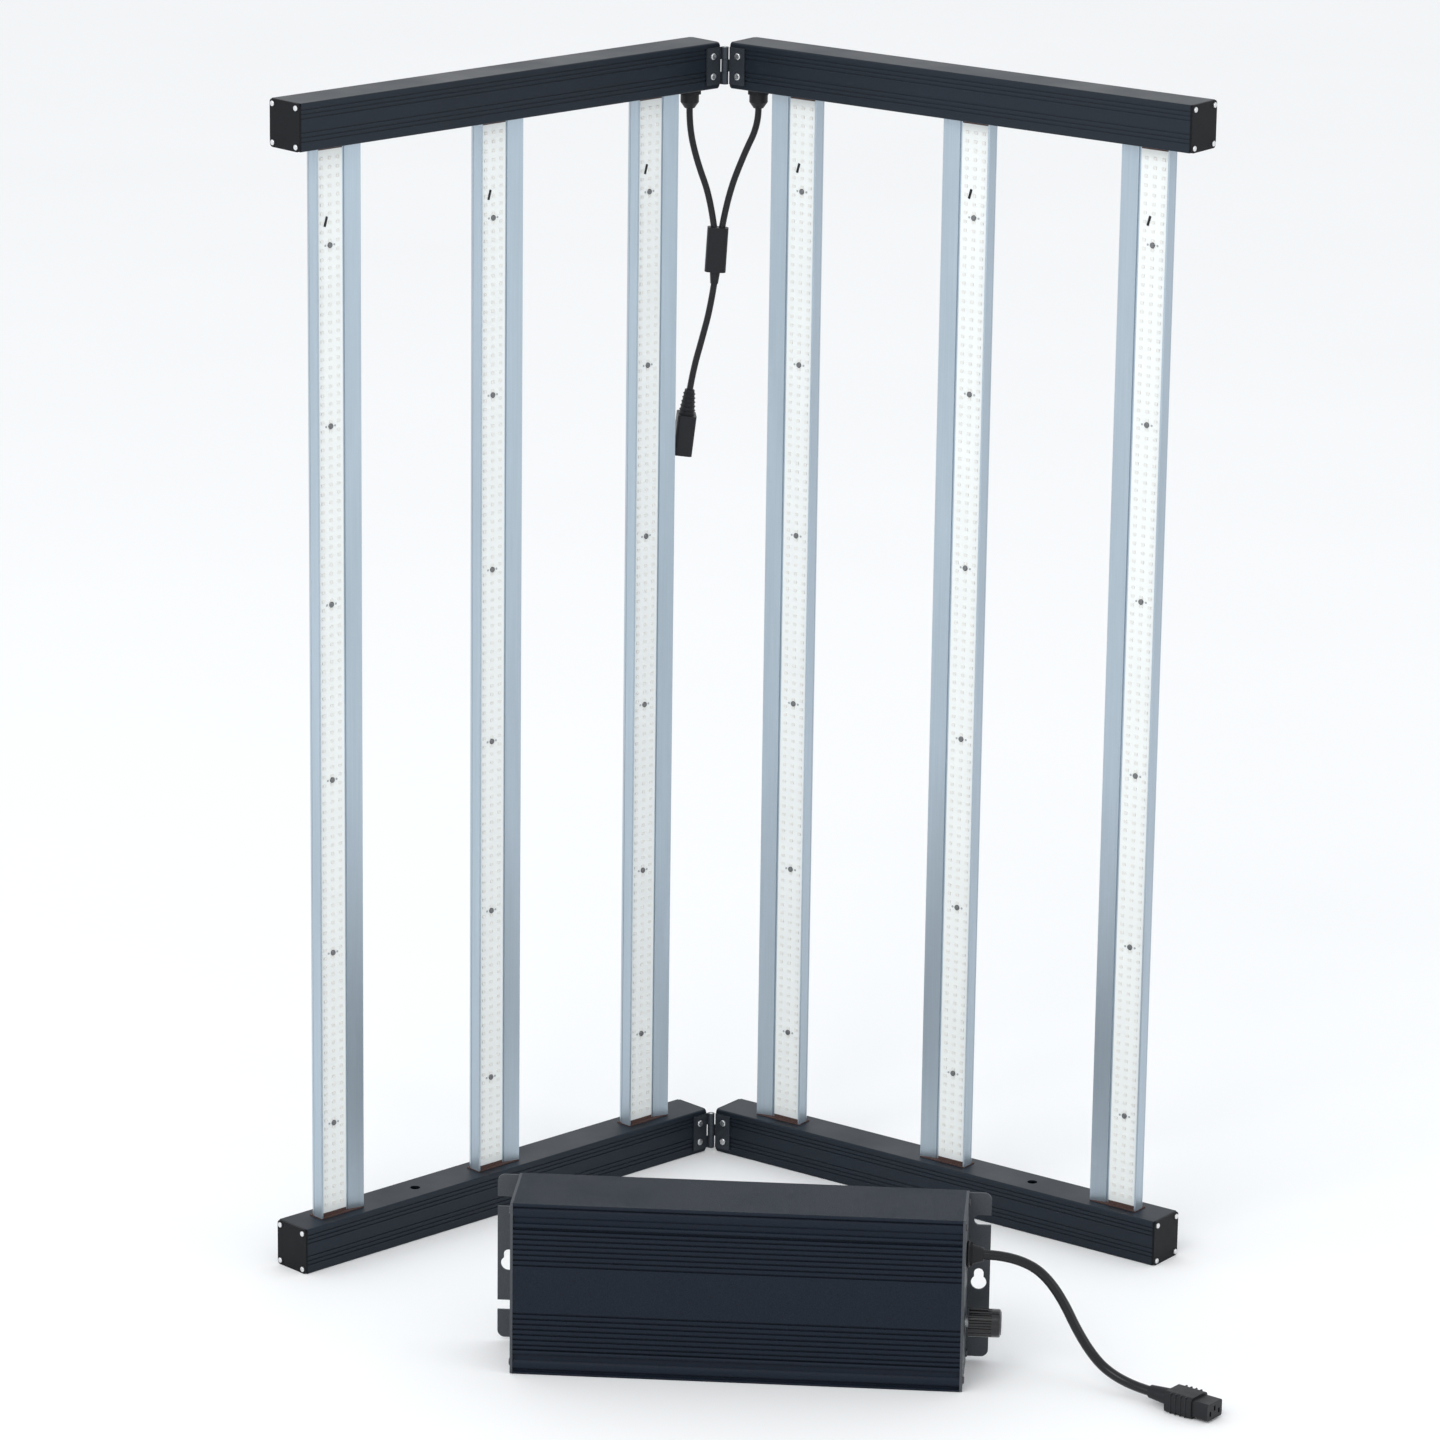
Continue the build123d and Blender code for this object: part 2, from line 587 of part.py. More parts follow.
# ---------------------------------------------------------------- cords

def cord(points, diameter, name):
    """A tube of straight runs and tangent arcs through hand-chosen points."""
    points = [Vector(*p) for p in points]
    runs = [b - a for a, b in zip(points, points[1:])]
    radii = []
    for before, after in zip(runs, runs[1:]):
        half_turn = math.radians(before.get_angle(after)) / 2
        radii.append(0.45 * min(before.length, after.length) / math.tan(half_turn))
    path = FilletPolyline(*points, radius=radii)
    tube = sweep(Plane(points[0], z_dir=runs[0]) * Circle(diameter / 2), path=path)
    expected = math.pi * diameter ** 2 / 4 * path.length
    print(f"{name}: length {path.length:.1f}, volume over section x length {tube.volume / expected:.4f}")
    print(f"  runs {[round(r.length, 1) for r in runs]}, radii {[round(r, 1) for r in radii]}")
    return tube


def lead_place(across, height):
    """A point of the lead's plane, which passes through both glands, in the row's directions."""
    x, y = turned(across, LEAD_PLANE_Y, LIGHT_TURN)
    return x, y, height


def lead_frame(start, tilt, toward=1):
    """Axes of a piece on the lead: Z down its length, X across the light."""
    a = math.radians(tilt)
    x, y, z = lead_place(*start)
    down = Vector(*turned(-math.sin(a), 0, LIGHT_TURN), -math.cos(a))
    across = Vector(*turned(math.cos(a), 0, LIGHT_TURN), -math.sin(a))
    return Plane((x, y, z), x_dir=across * toward, z_dir=down)


def splitter():
    """Moulded block that joins the two branches to the tail."""
    frame = lead_frame((-4.4, 972.0), SPLITTER_TILT)
    lower = RectangleRounded(SPLITTER_WIDTH, SPLITTER_THICKNESS, SPLITTER_THICKNESS * 0.4)
    body = extrude(frame * lower, SPLITTER_BODY)
    neck = frame.offset(SPLITTER_BODY + SPLITTER_NECK / 2)
    body += neck * Cone(SPLITTER_NECK_R, SPLITTER_NECK_R * 0.75, SPLITTER_NECK)
    return body


def plug_frame():
    return lead_frame(LEAD_TAIL[-1], PLUG_TILT)


def plug():
    """Appliance inlet plug: tapered relief, body and the recess round its blades."""
    frame = plug_frame()
    relief = frame.offset(PLUG_RELIEF / 2) * Cone(LEAD_D * 0.75, LEAD_D * 1.2, PLUG_RELIEF)
    face = RectangleRounded(PLUG_THICKNESS, PLUG_WIDTH, 3.5)
    body = relief + extrude(frame.offset(PLUG_RELIEF) * face, PLUG_BODY)
    mouth = frame.offset(PLUG_RELIEF + PLUG_BODY - SOCKET_DEPTH)
    return body - extrude(mouth * RectangleRounded(SOCKET_HEIGHT, SOCKET_WIDTH, 2.0), SOCKET_DEPTH)


def blades(plane):
    """Three flat blades that stand on plane; its X is the socket's short side."""
    places = [(-BLADE_RISE / 2, -BLADE_SPACING / 2), (-BLADE_RISE / 2, BLADE_SPACING / 2), (BLADE_RISE / 2, 0)]
    return [extrude(plane * Pos(x, y) * Rectangle(4.0, 2.0), BLADE_LENGTH) for x, y in places]


# ---------------------------------------------------------------- driver

def driver_section():
    """Hollow extrusion with beads and grouped fins on its front and back; local X is depth, Y height."""
    half_d, half_h = DRIVER_DEPTH / 2, DRIVER_HEIGHT / 2
    corner_x, corner_y = half_d - END_SCREW_INSET, half_h - END_SCREW_INSET
    section = RectangleRounded(DRIVER_DEPTH, DRIVER_HEIGHT, DRIVER_CORNER)
    section -= Rectangle(DRIVER_DEPTH - 2 * DRIVER_WALL, DRIVER_HEIGHT - 2 * DRIVER_WALL)
    block = 2 * END_SCREW_INSET - DRIVER_WALL
    for sx in (-1, 1):
        for sy in (-1, 1):
            section += Pos(sx * corner_x, sy * corner_y) * Rectangle(block, block)
    count = int(FIN_BAND // FIN_PITCH)
    recess = FIN_BAND_EDGE - TRIM_EDGE - 1.0
    for side in (-1, 1):
        for end in (-1, 1):
            middle = half_h - TRIM_EDGE - recess / 2
            section -= Pos(side * half_d, end * middle) * Rectangle(2 * TRIM_RECESS, recess)
            section += Pos(side * (half_d - BULGE_R), end * (half_h - BULGE_AT)) * Circle(BULGE_R)
            section += Pos(side * (half_d - BEAD_R), end * (half_h - BEAD_AT)) * Circle(BEAD_R)
            first = half_h - FIN_BAND_EDGE - FIN_PITCH / 2
            for k in range(count):
                y = end * (first - k * FIN_PITCH)
                section -= Pos(side * half_d, y) * Rectangle(2 * FIN_CUT, FIN_CUT_WIDTH)
    for sx in (-1, 1):
        for sy in (-1, 1):
            section -= Pos(sx * corner_x, sy * corner_y) * Circle(M4_R)
    return section


def driver_plane(x):
    """Upright plane across the driver; its X is depth, its Y is height."""
    return Plane((x, 0, DRIVER_HEIGHT / 2), x_dir=(0, 1, 0), z_dir=(1, 0, 0))


def driver_housing():
    return extrude(driver_plane(-DRIVER_LENGTH / 2) * driver_section(), DRIVER_LENGTH)


def end_screw_points():
    half_d, half_h = DRIVER_DEPTH / 2 - END_SCREW_INSET, DRIVER_HEIGHT / 2 - END_SCREW_INSET
    return [(sy * half_d, DRIVER_HEIGHT / 2 + sz * half_h) for sy in (-1, 1) for sz in (-1, 1)]


def mount_flange(end):
    """Wall-mounting flange that stands out from an end plate; end is -1 for the left, 1 for the right."""
    start = end * (DRIVER_LENGTH / 2 + END_PLATE)
    edge = start + end * MOUNT_FLANGE
    back = DRIVER_DEPTH / 2
    front = back - MOUNT_FLANGE_THICKNESS
    low, high = 4.0, DRIVER_HEIGHT - 2.0
    flange = box(min(start, edge), max(start, edge), front, back, low, high)
    tip = flange.edges().filter_by(Axis.Y).group_by(Axis.X)[-1 if end > 0 else 0]
    flange = fillet(tip, MOUNT_FLANGE_CORNER)
    for z in MOUNT_SLOT_HEIGHTS:
        root = edge - end * (MOUNT_SLOT_DEPTH - MOUNT_SLOT / 2)
        flange -= box(min(root, edge), max(root, edge), front, back, z - MOUNT_SLOT / 2, z + MOUNT_SLOT / 2)
        flange -= rod(MOUNT_SLOT / 2, (root, front, z), (0, 1, 0), MOUNT_FLANGE_THICKNESS)
    mid = start + end * MOUNT_FLANGE * 0.5
    neck = KEYHOLE_HEIGHT + KEYHOLE_RISE
    flange -= rod(KEYHOLE_R, (mid, front, KEYHOLE_HEIGHT), (0, 1, 0), MOUNT_FLANGE_THICKNESS)
    flange -= rod(KEYHOLE_NECK_R, (mid, front, neck), (0, 1, 0), MOUNT_FLANGE_THICKNESS)
    flange -= box(mid - KEYHOLE_NECK_R, mid + KEYHOLE_NECK_R, front, back, KEYHOLE_HEIGHT, neck)
    return flange


def end_plate(end):
    """End plate of the driver; end is -1 for the left, 1 for the right."""
    face = end * DRIVER_LENGTH / 2
    out = face + end * END_PLATE
    plate = extrude(
        driver_plane(min(face, out)) * RectangleRounded(DRIVER_DEPTH, DRIVER_HEIGHT, 3.0), END_PLATE
    )
    for y, z in end_screw_points():
        plate -= rod(M4_R, (min(face, out), y, z), (1, 0, 0), END_PLATE)
    if end > 0:
        plate -= rod(BUSH_R, (face, 0, KNOB_HEIGHT), (1, 0, 0), END_PLATE)
        plate -= rod(OUTPUT_GLAND_R * 0.8, (face, 0, OUTPUT_HEIGHT), (1, 0, 0), END_PLATE)
    else:
        plate -= box(out, face, -14.5, 14.5, INLET_HEIGHT - 10.5, INLET_HEIGHT + 10.5)
    return plate


def end_screws():
    size = (M4_R, M4_HEAD_R, M4_HEAD, M4_LENGTH + 4)
    reach = DRIVER_LENGTH / 2 + END_PLATE
    screws = []
    for y, z in end_screw_points():
        screws.append(pan_screw((reach, y, z), (-1, 0, 0), *size))
        screws.append(pan_screw((-reach, y, z), (1, 0, 0), *size))
    return screws


def dimmer():
    """The rotary control behind the right end plate: can, threaded bush and its shaft."""
    face = DRIVER_LENGTH / 2
    can = rod(11.0, (face - 12, 0, KNOB_HEIGHT), (1, 0, 0), 12)
    bush = rod(BUSH_R, (face, 0, KNOB_HEIGHT), (1, 0, 0), END_PLATE + 3)
    shaft = rod(SHAFT_R, (face + END_PLATE + 3, 0, KNOB_HEIGHT), (1, 0, 0), KNOB_LENGTH - 8)
    return can + bush + shaft


def knob():
    """Fluted dimmer knob that turns on the control's shaft."""
    start = DRIVER_LENGTH / 2 + END_PLATE + 3.4
    body = rod(KNOB_R, (start, 0, KNOB_HEIGHT), (1, 0, 0), KNOB_LENGTH)
    body = fillet(body.edges().sort_by(Axis.X)[-1], 2.0)
    flute = KNOB_R * 0.12
    for k in range(16):
        a = math.radians(k * 360 / 16)
        y, z = KNOB_R * math.cos(a), KNOB_R * math.sin(a)
        body -= rod(flute, (start, y, KNOB_HEIGHT + z), (1, 0, 0), KNOB_LENGTH * 0.72)
    depth = KNOB_LENGTH - 7
    return body - rod(SHAFT_R + SHAFT_CLEARANCE, (start, 0, KNOB_HEIGHT), (1, 0, 0), depth)


def output_gland():
    """Strain relief bush in the right end plate."""
    face = DRIVER_LENGTH / 2
    stem = rod(OUTPUT_GLAND_R * 0.8, (face, 0, OUTPUT_HEIGHT), (1, 0, 0), END_PLATE)
    collar = rod(OUTPUT_GLAND_R, (face + END_PLATE, 0, OUTPUT_HEIGHT), (1, 0, 0), 6)
    length = OUTPUT_GLAND_LENGTH - 6
    mid = face + END_PLATE + 6 + length / 2
    taper = Plane((mid, 0, OUTPUT_HEIGHT), z_dir=(1, 0, 0)) * Cone(OUTPUT_GLAND_R * 0.85, 6.4, length)
    return stem + collar + taper


def connector():
    """Appliance connector that lies on the floor: relief, grip and slotted nose."""
    heading = Vector(*turned(1, 0, CONNECTOR_HEADING), 0)
    side = Vector(*turned(0, 1, CONNECTOR_HEADING), 0)
    frame = Plane(OUTPUT_CORD[-1], x_dir=side, z_dir=heading)
    grip_height = 2 * OUTPUT_CORD[-1][2]
    body = frame.offset(CONNECTOR_RELIEF / 2) * Cone(OUTPUT_CORD_D * 0.66, OUTPUT_CORD_D * 0.88, CONNECTOR_RELIEF)
    grip = RectangleRounded(CONNECTOR_GRIP_WIDTH, grip_height, 4.0)
    body += extrude(frame.offset(CONNECTOR_RELIEF) * grip, CONNECTOR_GRIP)
    nose = RectangleRounded(CONNECTOR_NOSE_WIDTH, CONNECTOR_NOSE_HEIGHT, 2.5)
    nose_start = frame.offset(CONNECTOR_RELIEF + CONNECTOR_GRIP)
    body += extrude(nose_start * nose, CONNECTOR_NOSE)
    for x, y in ((-BLADE_SPACING / 2, -BLADE_RISE / 2), (BLADE_SPACING / 2, -BLADE_RISE / 2), (0, BLADE_RISE / 2)):
        body -= extrude(nose_start * Pos(x, y) * Rectangle(2.6, 5.0), CONNECTOR_NOSE)
    return body


def mains_inlet():
    """Recessed appliance inlet in the left end plate, with its three blades."""
    out = -(DRIVER_LENGTH / 2 + END_PLATE)
    plane = Plane((out, 0, INLET_HEIGHT), x_dir=(0, 0, 1), z_dir=(1, 0, 0))
    rim = plane.offset(-2.0)
    shell = extrude(plane * Rectangle(21, 29), END_PLATE + SOCKET_DEPTH)
    shell += extrude(rim * RectangleRounded(25, 33, 3), 2.0)
    shell -= extrude(rim * RectangleRounded(SOCKET_HEIGHT, SOCKET_WIDTH, 2.0), SOCKET_DEPTH)
    floor = Plane((out - 2.0 + SOCKET_DEPTH, 0, INLET_HEIGHT), x_dir=(0, 0, 1), z_dir=(-1, 0, 0))
    return [shell] + blades(floor)


def driver_board():
    """Circuit board on the housing's floor, with the heat-spreading bar and small parts."""
    half = DRIVER_LENGTH / 2 - CIRCUIT_END
    low = DRIVER_WALL + CIRCUIT_RISE
    edge = CIRCUIT_HALF_WIDTH
    plate = box(-half, half, -edge, edge, low, low + CIRCUIT_THICKNESS)
    heat_low = low + CIRCUIT_THICKNESS
    for k in range(HEAT_BLOCKS):
        x = -half + 40 + k * HEAT_BLOCK_PITCH
        plate += box(x, x + 16, edge - HEAT_STRIP, edge - CIRCUIT_MARGIN, heat_low, heat_low + 24)
    return plate


def driver_coils():
    """Transformer, choke and smoothing capacitors on the board."""
    low = DRIVER_WALL + CIRCUIT_RISE + CIRCUIT_THICKNESS
    back = CIRCUIT_HALF_WIDTH - HEAT_STRIP - CIRCUIT_MARGIN * 2
    front = CIRCUIT_MARGIN - CIRCUIT_HALF_WIDTH
    parts = [box(-60, 10, front, back, low, low + 62), box(60, 110, front, back, low, low + 44)]
    can_r = CIRCUIT_HALF_WIDTH - CAN_SHARE
    can_y = front + can_r + 1.5
    parts += [rod(can_r, (-140 + 30 * k, can_y, low), (0, 0, 1), 50) for k in range(2)]
    return parts


# ---------------------------------------------------------------- write the nodes

os.makedirs("parts", exist_ok=True)

for side in ("left", "right"):
    save_wing("top_rail", side, [rail("top")])
    save_wing("bottom_rail", side, [rail("bottom")])
    for number, start in enumerate(BAR_STARTS, 1):
        save_wing(f"light_bar_{number}", side, [bar(start)])
        save_wing(f"led_board_{number}", side, [board(start)])
    save_wing("bar_seals", side, [s for start in BAR_STARTS for s in bar_seals(start)])
    save_wing("board_screws", side, [s for start in BAR_STARTS for s in board_screws(start)])
    lows = (0.0, TOP_RAIL_Z)
    save_wing("outer_caps", side, [end_cap(RAIL_END_X, OUTER_CAP, low) for low in lows])
    save_wing("inner_caps", side, [end_cap(HINGE_GAP - INNER_CAP, INNER_CAP, low) for low in lows])
    save_wing("cap_screws", side, [s for low in lows for s in cap_screws(low)])
    save_wing("m4_screws", side, m4_screws())
    save_wing("bottom_hinge_leaf", side, [hinge_leaf(side, HINGE_MIDS[0])])
    save_wing("top_hinge_leaf", side, [hinge_leaf(side, HINGE_MIDS[1])])
    save_wing("hanging_brackets", side, [hanging_bracket(mid) for mid in HINGE_MIDS])
    save_wing("gland_body", side, [gland_body()])
    save_wing("gland_nuts", side, gland_nuts())
    save_wing("terminal_block", side, [terminal_block()])

save("hinge_pins", [TO_ROW * p for p in hinge_pins()])

for name, route in (("left", LEAD_LEFT), ("right", LEAD_RIGHT), ("tail", LEAD_TAIL)):
    tube = cord([lead_place(*p) for p in route], LEAD_D, f"lead_{name}")
    save(f"lead_{name}", [TO_ROW * tube])
save("lead_splitter", [TO_ROW * splitter()])
save("lead_plug", [TO_ROW * plug()])
blade_plane = plug_frame().offset(PLUG_RELIEF + PLUG_BODY - SOCKET_DEPTH)
save("lead_plug_blades", [TO_ROW * b for b in blades(blade_plane)])

save("driver_housing", [TO_DRIVER * driver_housing()])
save("driver_end_plate_left", [TO_DRIVER * end_plate(-1)])
save("driver_end_plate_right", [TO_DRIVER * end_plate(1)])
save("driver_mount_flanges", [TO_DRIVER * mount_flange(end) for end in (-1, 1)])
save("driver_end_screws", [TO_DRIVER * s for s in end_screws()])
save("dimmer", [TO_DRIVER * dimmer()])
save("dimmer_knob", [TO_DRIVER * knob()])
save("output_gland", [TO_DRIVER * output_gland()])
save("output_cord", [TO_DRIVER * cord(OUTPUT_CORD, OUTPUT_CORD_D, "output_cord")])
save("output_connector", [TO_DRIVER * connector()])
save("mains_inlet", [TO_DRIVER * s for s in mains_inlet()])
save("driver_board", [TO_DRIVER * driver_board()])
save("driver_coils", [TO_DRIVER * s for s in driver_coils()])

print(f"hinge axis at ({-ORIGIN_X:.3f}, {-ORIGIN_Y:.3f}), sweep radius {SWEEP_R:.1f}")
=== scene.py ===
"""Looks for a folding LED grow light and its driver: finishes, LEDs, leads, trim and a studio."""
import json
import math

import bmesh
import bpy
from mathutils import Matrix, Vector


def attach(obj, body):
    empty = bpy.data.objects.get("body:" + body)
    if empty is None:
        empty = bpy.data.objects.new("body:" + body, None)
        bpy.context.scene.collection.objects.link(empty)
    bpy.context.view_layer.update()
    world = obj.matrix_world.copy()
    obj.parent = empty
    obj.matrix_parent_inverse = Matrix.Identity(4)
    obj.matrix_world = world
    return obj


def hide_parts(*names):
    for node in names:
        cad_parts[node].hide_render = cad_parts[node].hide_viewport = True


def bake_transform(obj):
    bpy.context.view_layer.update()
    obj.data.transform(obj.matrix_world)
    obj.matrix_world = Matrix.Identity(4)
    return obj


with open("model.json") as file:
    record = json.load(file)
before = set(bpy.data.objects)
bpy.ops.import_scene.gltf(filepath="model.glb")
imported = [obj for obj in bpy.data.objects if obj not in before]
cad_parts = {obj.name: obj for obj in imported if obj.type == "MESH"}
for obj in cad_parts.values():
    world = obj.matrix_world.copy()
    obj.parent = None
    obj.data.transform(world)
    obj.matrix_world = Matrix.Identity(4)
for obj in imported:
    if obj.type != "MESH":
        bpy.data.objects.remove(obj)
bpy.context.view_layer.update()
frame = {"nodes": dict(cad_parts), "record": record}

bl_info = {
    "name": "Folding LED grow light",
    "version": (1, 0, 0),
    "blender": (4, 5, 0),
    "location": "View3D > Sidebar > Grow Light",
    "description": "Finishes, LEDs, leads and a studio for the packed grow light",
    "category": "Object",
}

SIDES = ("left", "right")

# The wings hinge on a vertical line. Each wing's own axes have X along the rail, Y back from the
# LEDs and Z up; on the left wing X is negative outwards.
HINGE = Vector((-0.043474, 0.298716, 0.0))
LIGHT_TURN = 8.0
WING_TURN = {"left": LIGHT_TURN + 40.0, "right": LIGHT_TURN - 40.0}

# The fork lead hangs in a plane through both glands, 4.187 mm behind the hinge line.
LEAD_PLANE = 0.004187
LEAD_LEFT = [(-0.0341, 1.092), (-0.0341, 1.072), (-0.026, 1.038), (-0.0126, 1.002), (-0.0084, 0.9722)]
LEAD_RIGHT = [(0.0341, 1.0916), (0.0341, 1.075), (0.0206, 1.046), (0.005, 1.004), (-0.0004, 0.9718)]
LEAD_TAIL = [(-0.0076, 0.9149), (-0.0112, 0.89), (-0.0192, 0.858), (-0.0272, 0.828), (-0.0306, 0.807)]

# The output cord's points are from the middle of the driver, at floor level.
DRIVER = Vector((0.030526, -0.29338, 0.0))
OUTPUT_CORD = [
    (0.2285, 0.0, 0.122), (0.2575, 0.0, 0.122), (0.2938, -0.0036, 0.1012),
    (0.328, -0.0124, 0.0338), (0.36, -0.0266, 0.0104), (0.3886, -0.0458, 0.0104),
]

PLUG_TILT = 6.5            # degrees from plumb
PLUG_RELIEF = 0.025
PLUG_RIB_BEAD, PLUG_RIB_FLAT = 0.0008, 0.9
CONNECTOR_HEADING = -34.0
GRIP_RIBS = 4
GRIP_RIB = (0.0018, 0.0282, 0.0202)        # along the cord, across it, and up
GRIP_RIB_ROUNDING = 0.0008
GRIP_RIB_HEIGHT = 0.0107   # a rib's middle above the floor

SCREWS_ON_BOARD = 6
DOT_THICKNESS, DOT_SIDES, DOT_SINK = 0.0003, 14, 0.0001
WIRE_WIDTH, WIRE_THICKNESS, WIRE_ROUNDING, WIRE_SINK = 0.0026, 0.0012, 0.0005, 0.0002

# Rings about the driver's X axis: radius, bead, flatness, and the ring's place from the driver's middle.
OUTPUT_COLLAR = (0.0112, 0.0018, 0.8, (0.2142, 0, 0.122))
KNOB_RING = (0.0105, 0.0009, 0.7, (0.2459, 0, 0.054))

CAMERA_AT = Vector((0.416, -5.748, 2.187))
CAMERA_HEADING = 4.31      # degrees from +Y towards -X
CAMERA_DROP = 15.86        # degrees below level
CAMERA_ROLL = 0.759
CAMERA_LENS = 155.23


# ------------------------------------------------------------------ settings

class LedSizes(bpy.types.PropertyGroup):
    rows: bpy.props.IntProperty(
        name="Rows", description="LEDs in one column of a board", default=120, min=2, step=2)
    columns: bpy.props.IntProperty(
        name="Columns", description="Columns of LEDs on a board", default=3, min=1)
    row_pitch: bpy.props.FloatProperty(
        name="Row pitch", description="From one row to the next", default=0.00874, unit="LENGTH")
    column_pitch: bpy.props.FloatProperty(
        name="Column pitch", description="From one column to the next", default=0.0098, unit="LENGTH")
    width: bpy.props.FloatProperty(
        name="Width", description="Package across the board", default=0.0035, unit="LENGTH")
    height: bpy.props.FloatProperty(
        name="Height", description="Package along the board", default=0.0028, unit="LENGTH")
    thickness: bpy.props.FloatProperty(
        name="Thickness", description="Package off the board", default=0.0008, unit="LENGTH")


class CordSizes(bpy.types.PropertyGroup):
    lead: bpy.props.FloatProperty(
        name="Lead", description="Diameter of the fork lead", default=0.0065, unit="LENGTH")
    output: bpy.props.FloatProperty(
        name="Output cord", description="Diameter of the driver's cord", default=0.0095, unit="LENGTH")


class DetailSizes(bpy.types.PropertyGroup):
    dot: bpy.props.FloatProperty(
        name="Dot", description="Radius of a solder dot", default=0.0011, unit="LENGTH")
    dot_offset: bpy.props.FloatProperty(
        name="Dot offset", description="From a screw's middle to a dot", default=0.0055, unit="LENGTH")
    screw_pitch: bpy.props.FloatProperty(
        name="Screw pitch", description="From one board screw to the next", default=0.1748, unit="LENGTH")
    wire: bpy.props.FloatProperty(
        name="Wire", description="Visible length of a board's wire", default=0.010, unit="LENGTH")
    wire_tilt: bpy.props.FloatProperty(
        name="Wire tilt", description="Lean of the wire in degrees", default=16.0)
    wire_offset: bpy.props.FloatProperty(
        name="Wire offset", description="From the board's middle to the wire", default=0.0049, unit="LENGTH")
    wire_rise: bpy.props.FloatProperty(
        name="Wire rise", description="From the top screw up to the wire", default=0.023, unit="LENGTH")
    ribs: bpy.props.IntProperty(
        name="Ribs", description="Ribs on the plug's strain relief", default=5, min=1)
    relief_start: bpy.props.FloatProperty(
        name="Relief start", description="Radius where the lead enters", default=0.0049, unit="LENGTH")
    relief_end: bpy.props.FloatProperty(
        name="Relief end", description="Radius at the plug's body", default=0.0078, unit="LENGTH")
    grip_start: bpy.props.FloatProperty(
        name="Grip start", description="From the cord's end to the first rib", default=0.031, unit="LENGTH")
    rib_pitch: bpy.props.FloatProperty(
        name="Rib pitch", description="From one grip rib to the next", default=0.0055, unit="LENGTH")


class Colours(bpy.types.PropertyGroup):
    aluminium: bpy.props.FloatVectorProperty(
        name="Bars", description="Clear anodised bars", subtype="COLOR", size=4,
        default=(0.44, 0.52, 0.59, 1))
    rail: bpy.props.FloatVectorProperty(
        name="Rails", description="Black anodised rails", subtype="COLOR", size=4,
        default=(0.009, 0.015, 0.024, 1))
    board: bpy.props.FloatVectorProperty(
        name="Boards", description="White solder mask", subtype="COLOR", size=4,
        default=(0.84, 0.862, 0.856, 1))
    phosphor: bpy.props.FloatVectorProperty(
        name="Phosphor", description="LED phosphor when unlit", subtype="COLOR", size=4,
        default=(0.74, 0.56, 0.20, 1))
    driver: bpy.props.FloatVectorProperty(
        name="Driver", description="Textured powder coat", subtype="COLOR", size=4,
        default=(0.0060, 0.0092, 0.0155, 1))


class StudioSizes(bpy.types.PropertyGroup):
    floor: bpy.props.FloatProperty(
        name="Floor", description="Side of the floor", default=60.0, unit="LENGTH")
    key: bpy.props.FloatProperty(
        name="Key light", description="Power of the main light", default=72.0, unit="POWER")
    fill: bpy.props.FloatProperty(
        name="Fill light", description="Power of each side light", default=16.0, unit="POWER")


# ------------------------------------------------------------------ shader maths

class Signal:
    """A shader socket that Python's operators work on; each sum adds a Math node."""

    def __init__(self, finish, socket):
        self.finish = finish
        self.socket = socket

    def sum(self, operation, *values):
        return self.finish.node("ShaderNodeMath", {"operation": operation}, dict(enumerate(values)))

    def __add__(self, other):
        return self.sum("ADD", self, other)

    def __radd__(self, other):
        return self.sum("ADD", other, self)

    def __sub__(self, other):
        return self.sum("SUBTRACT", self, other)

    def __mul__(self, other):
        return self.sum("MULTIPLY", self, other)

    def __rmul__(self, other):
        return self.sum("MULTIPLY", other, self)


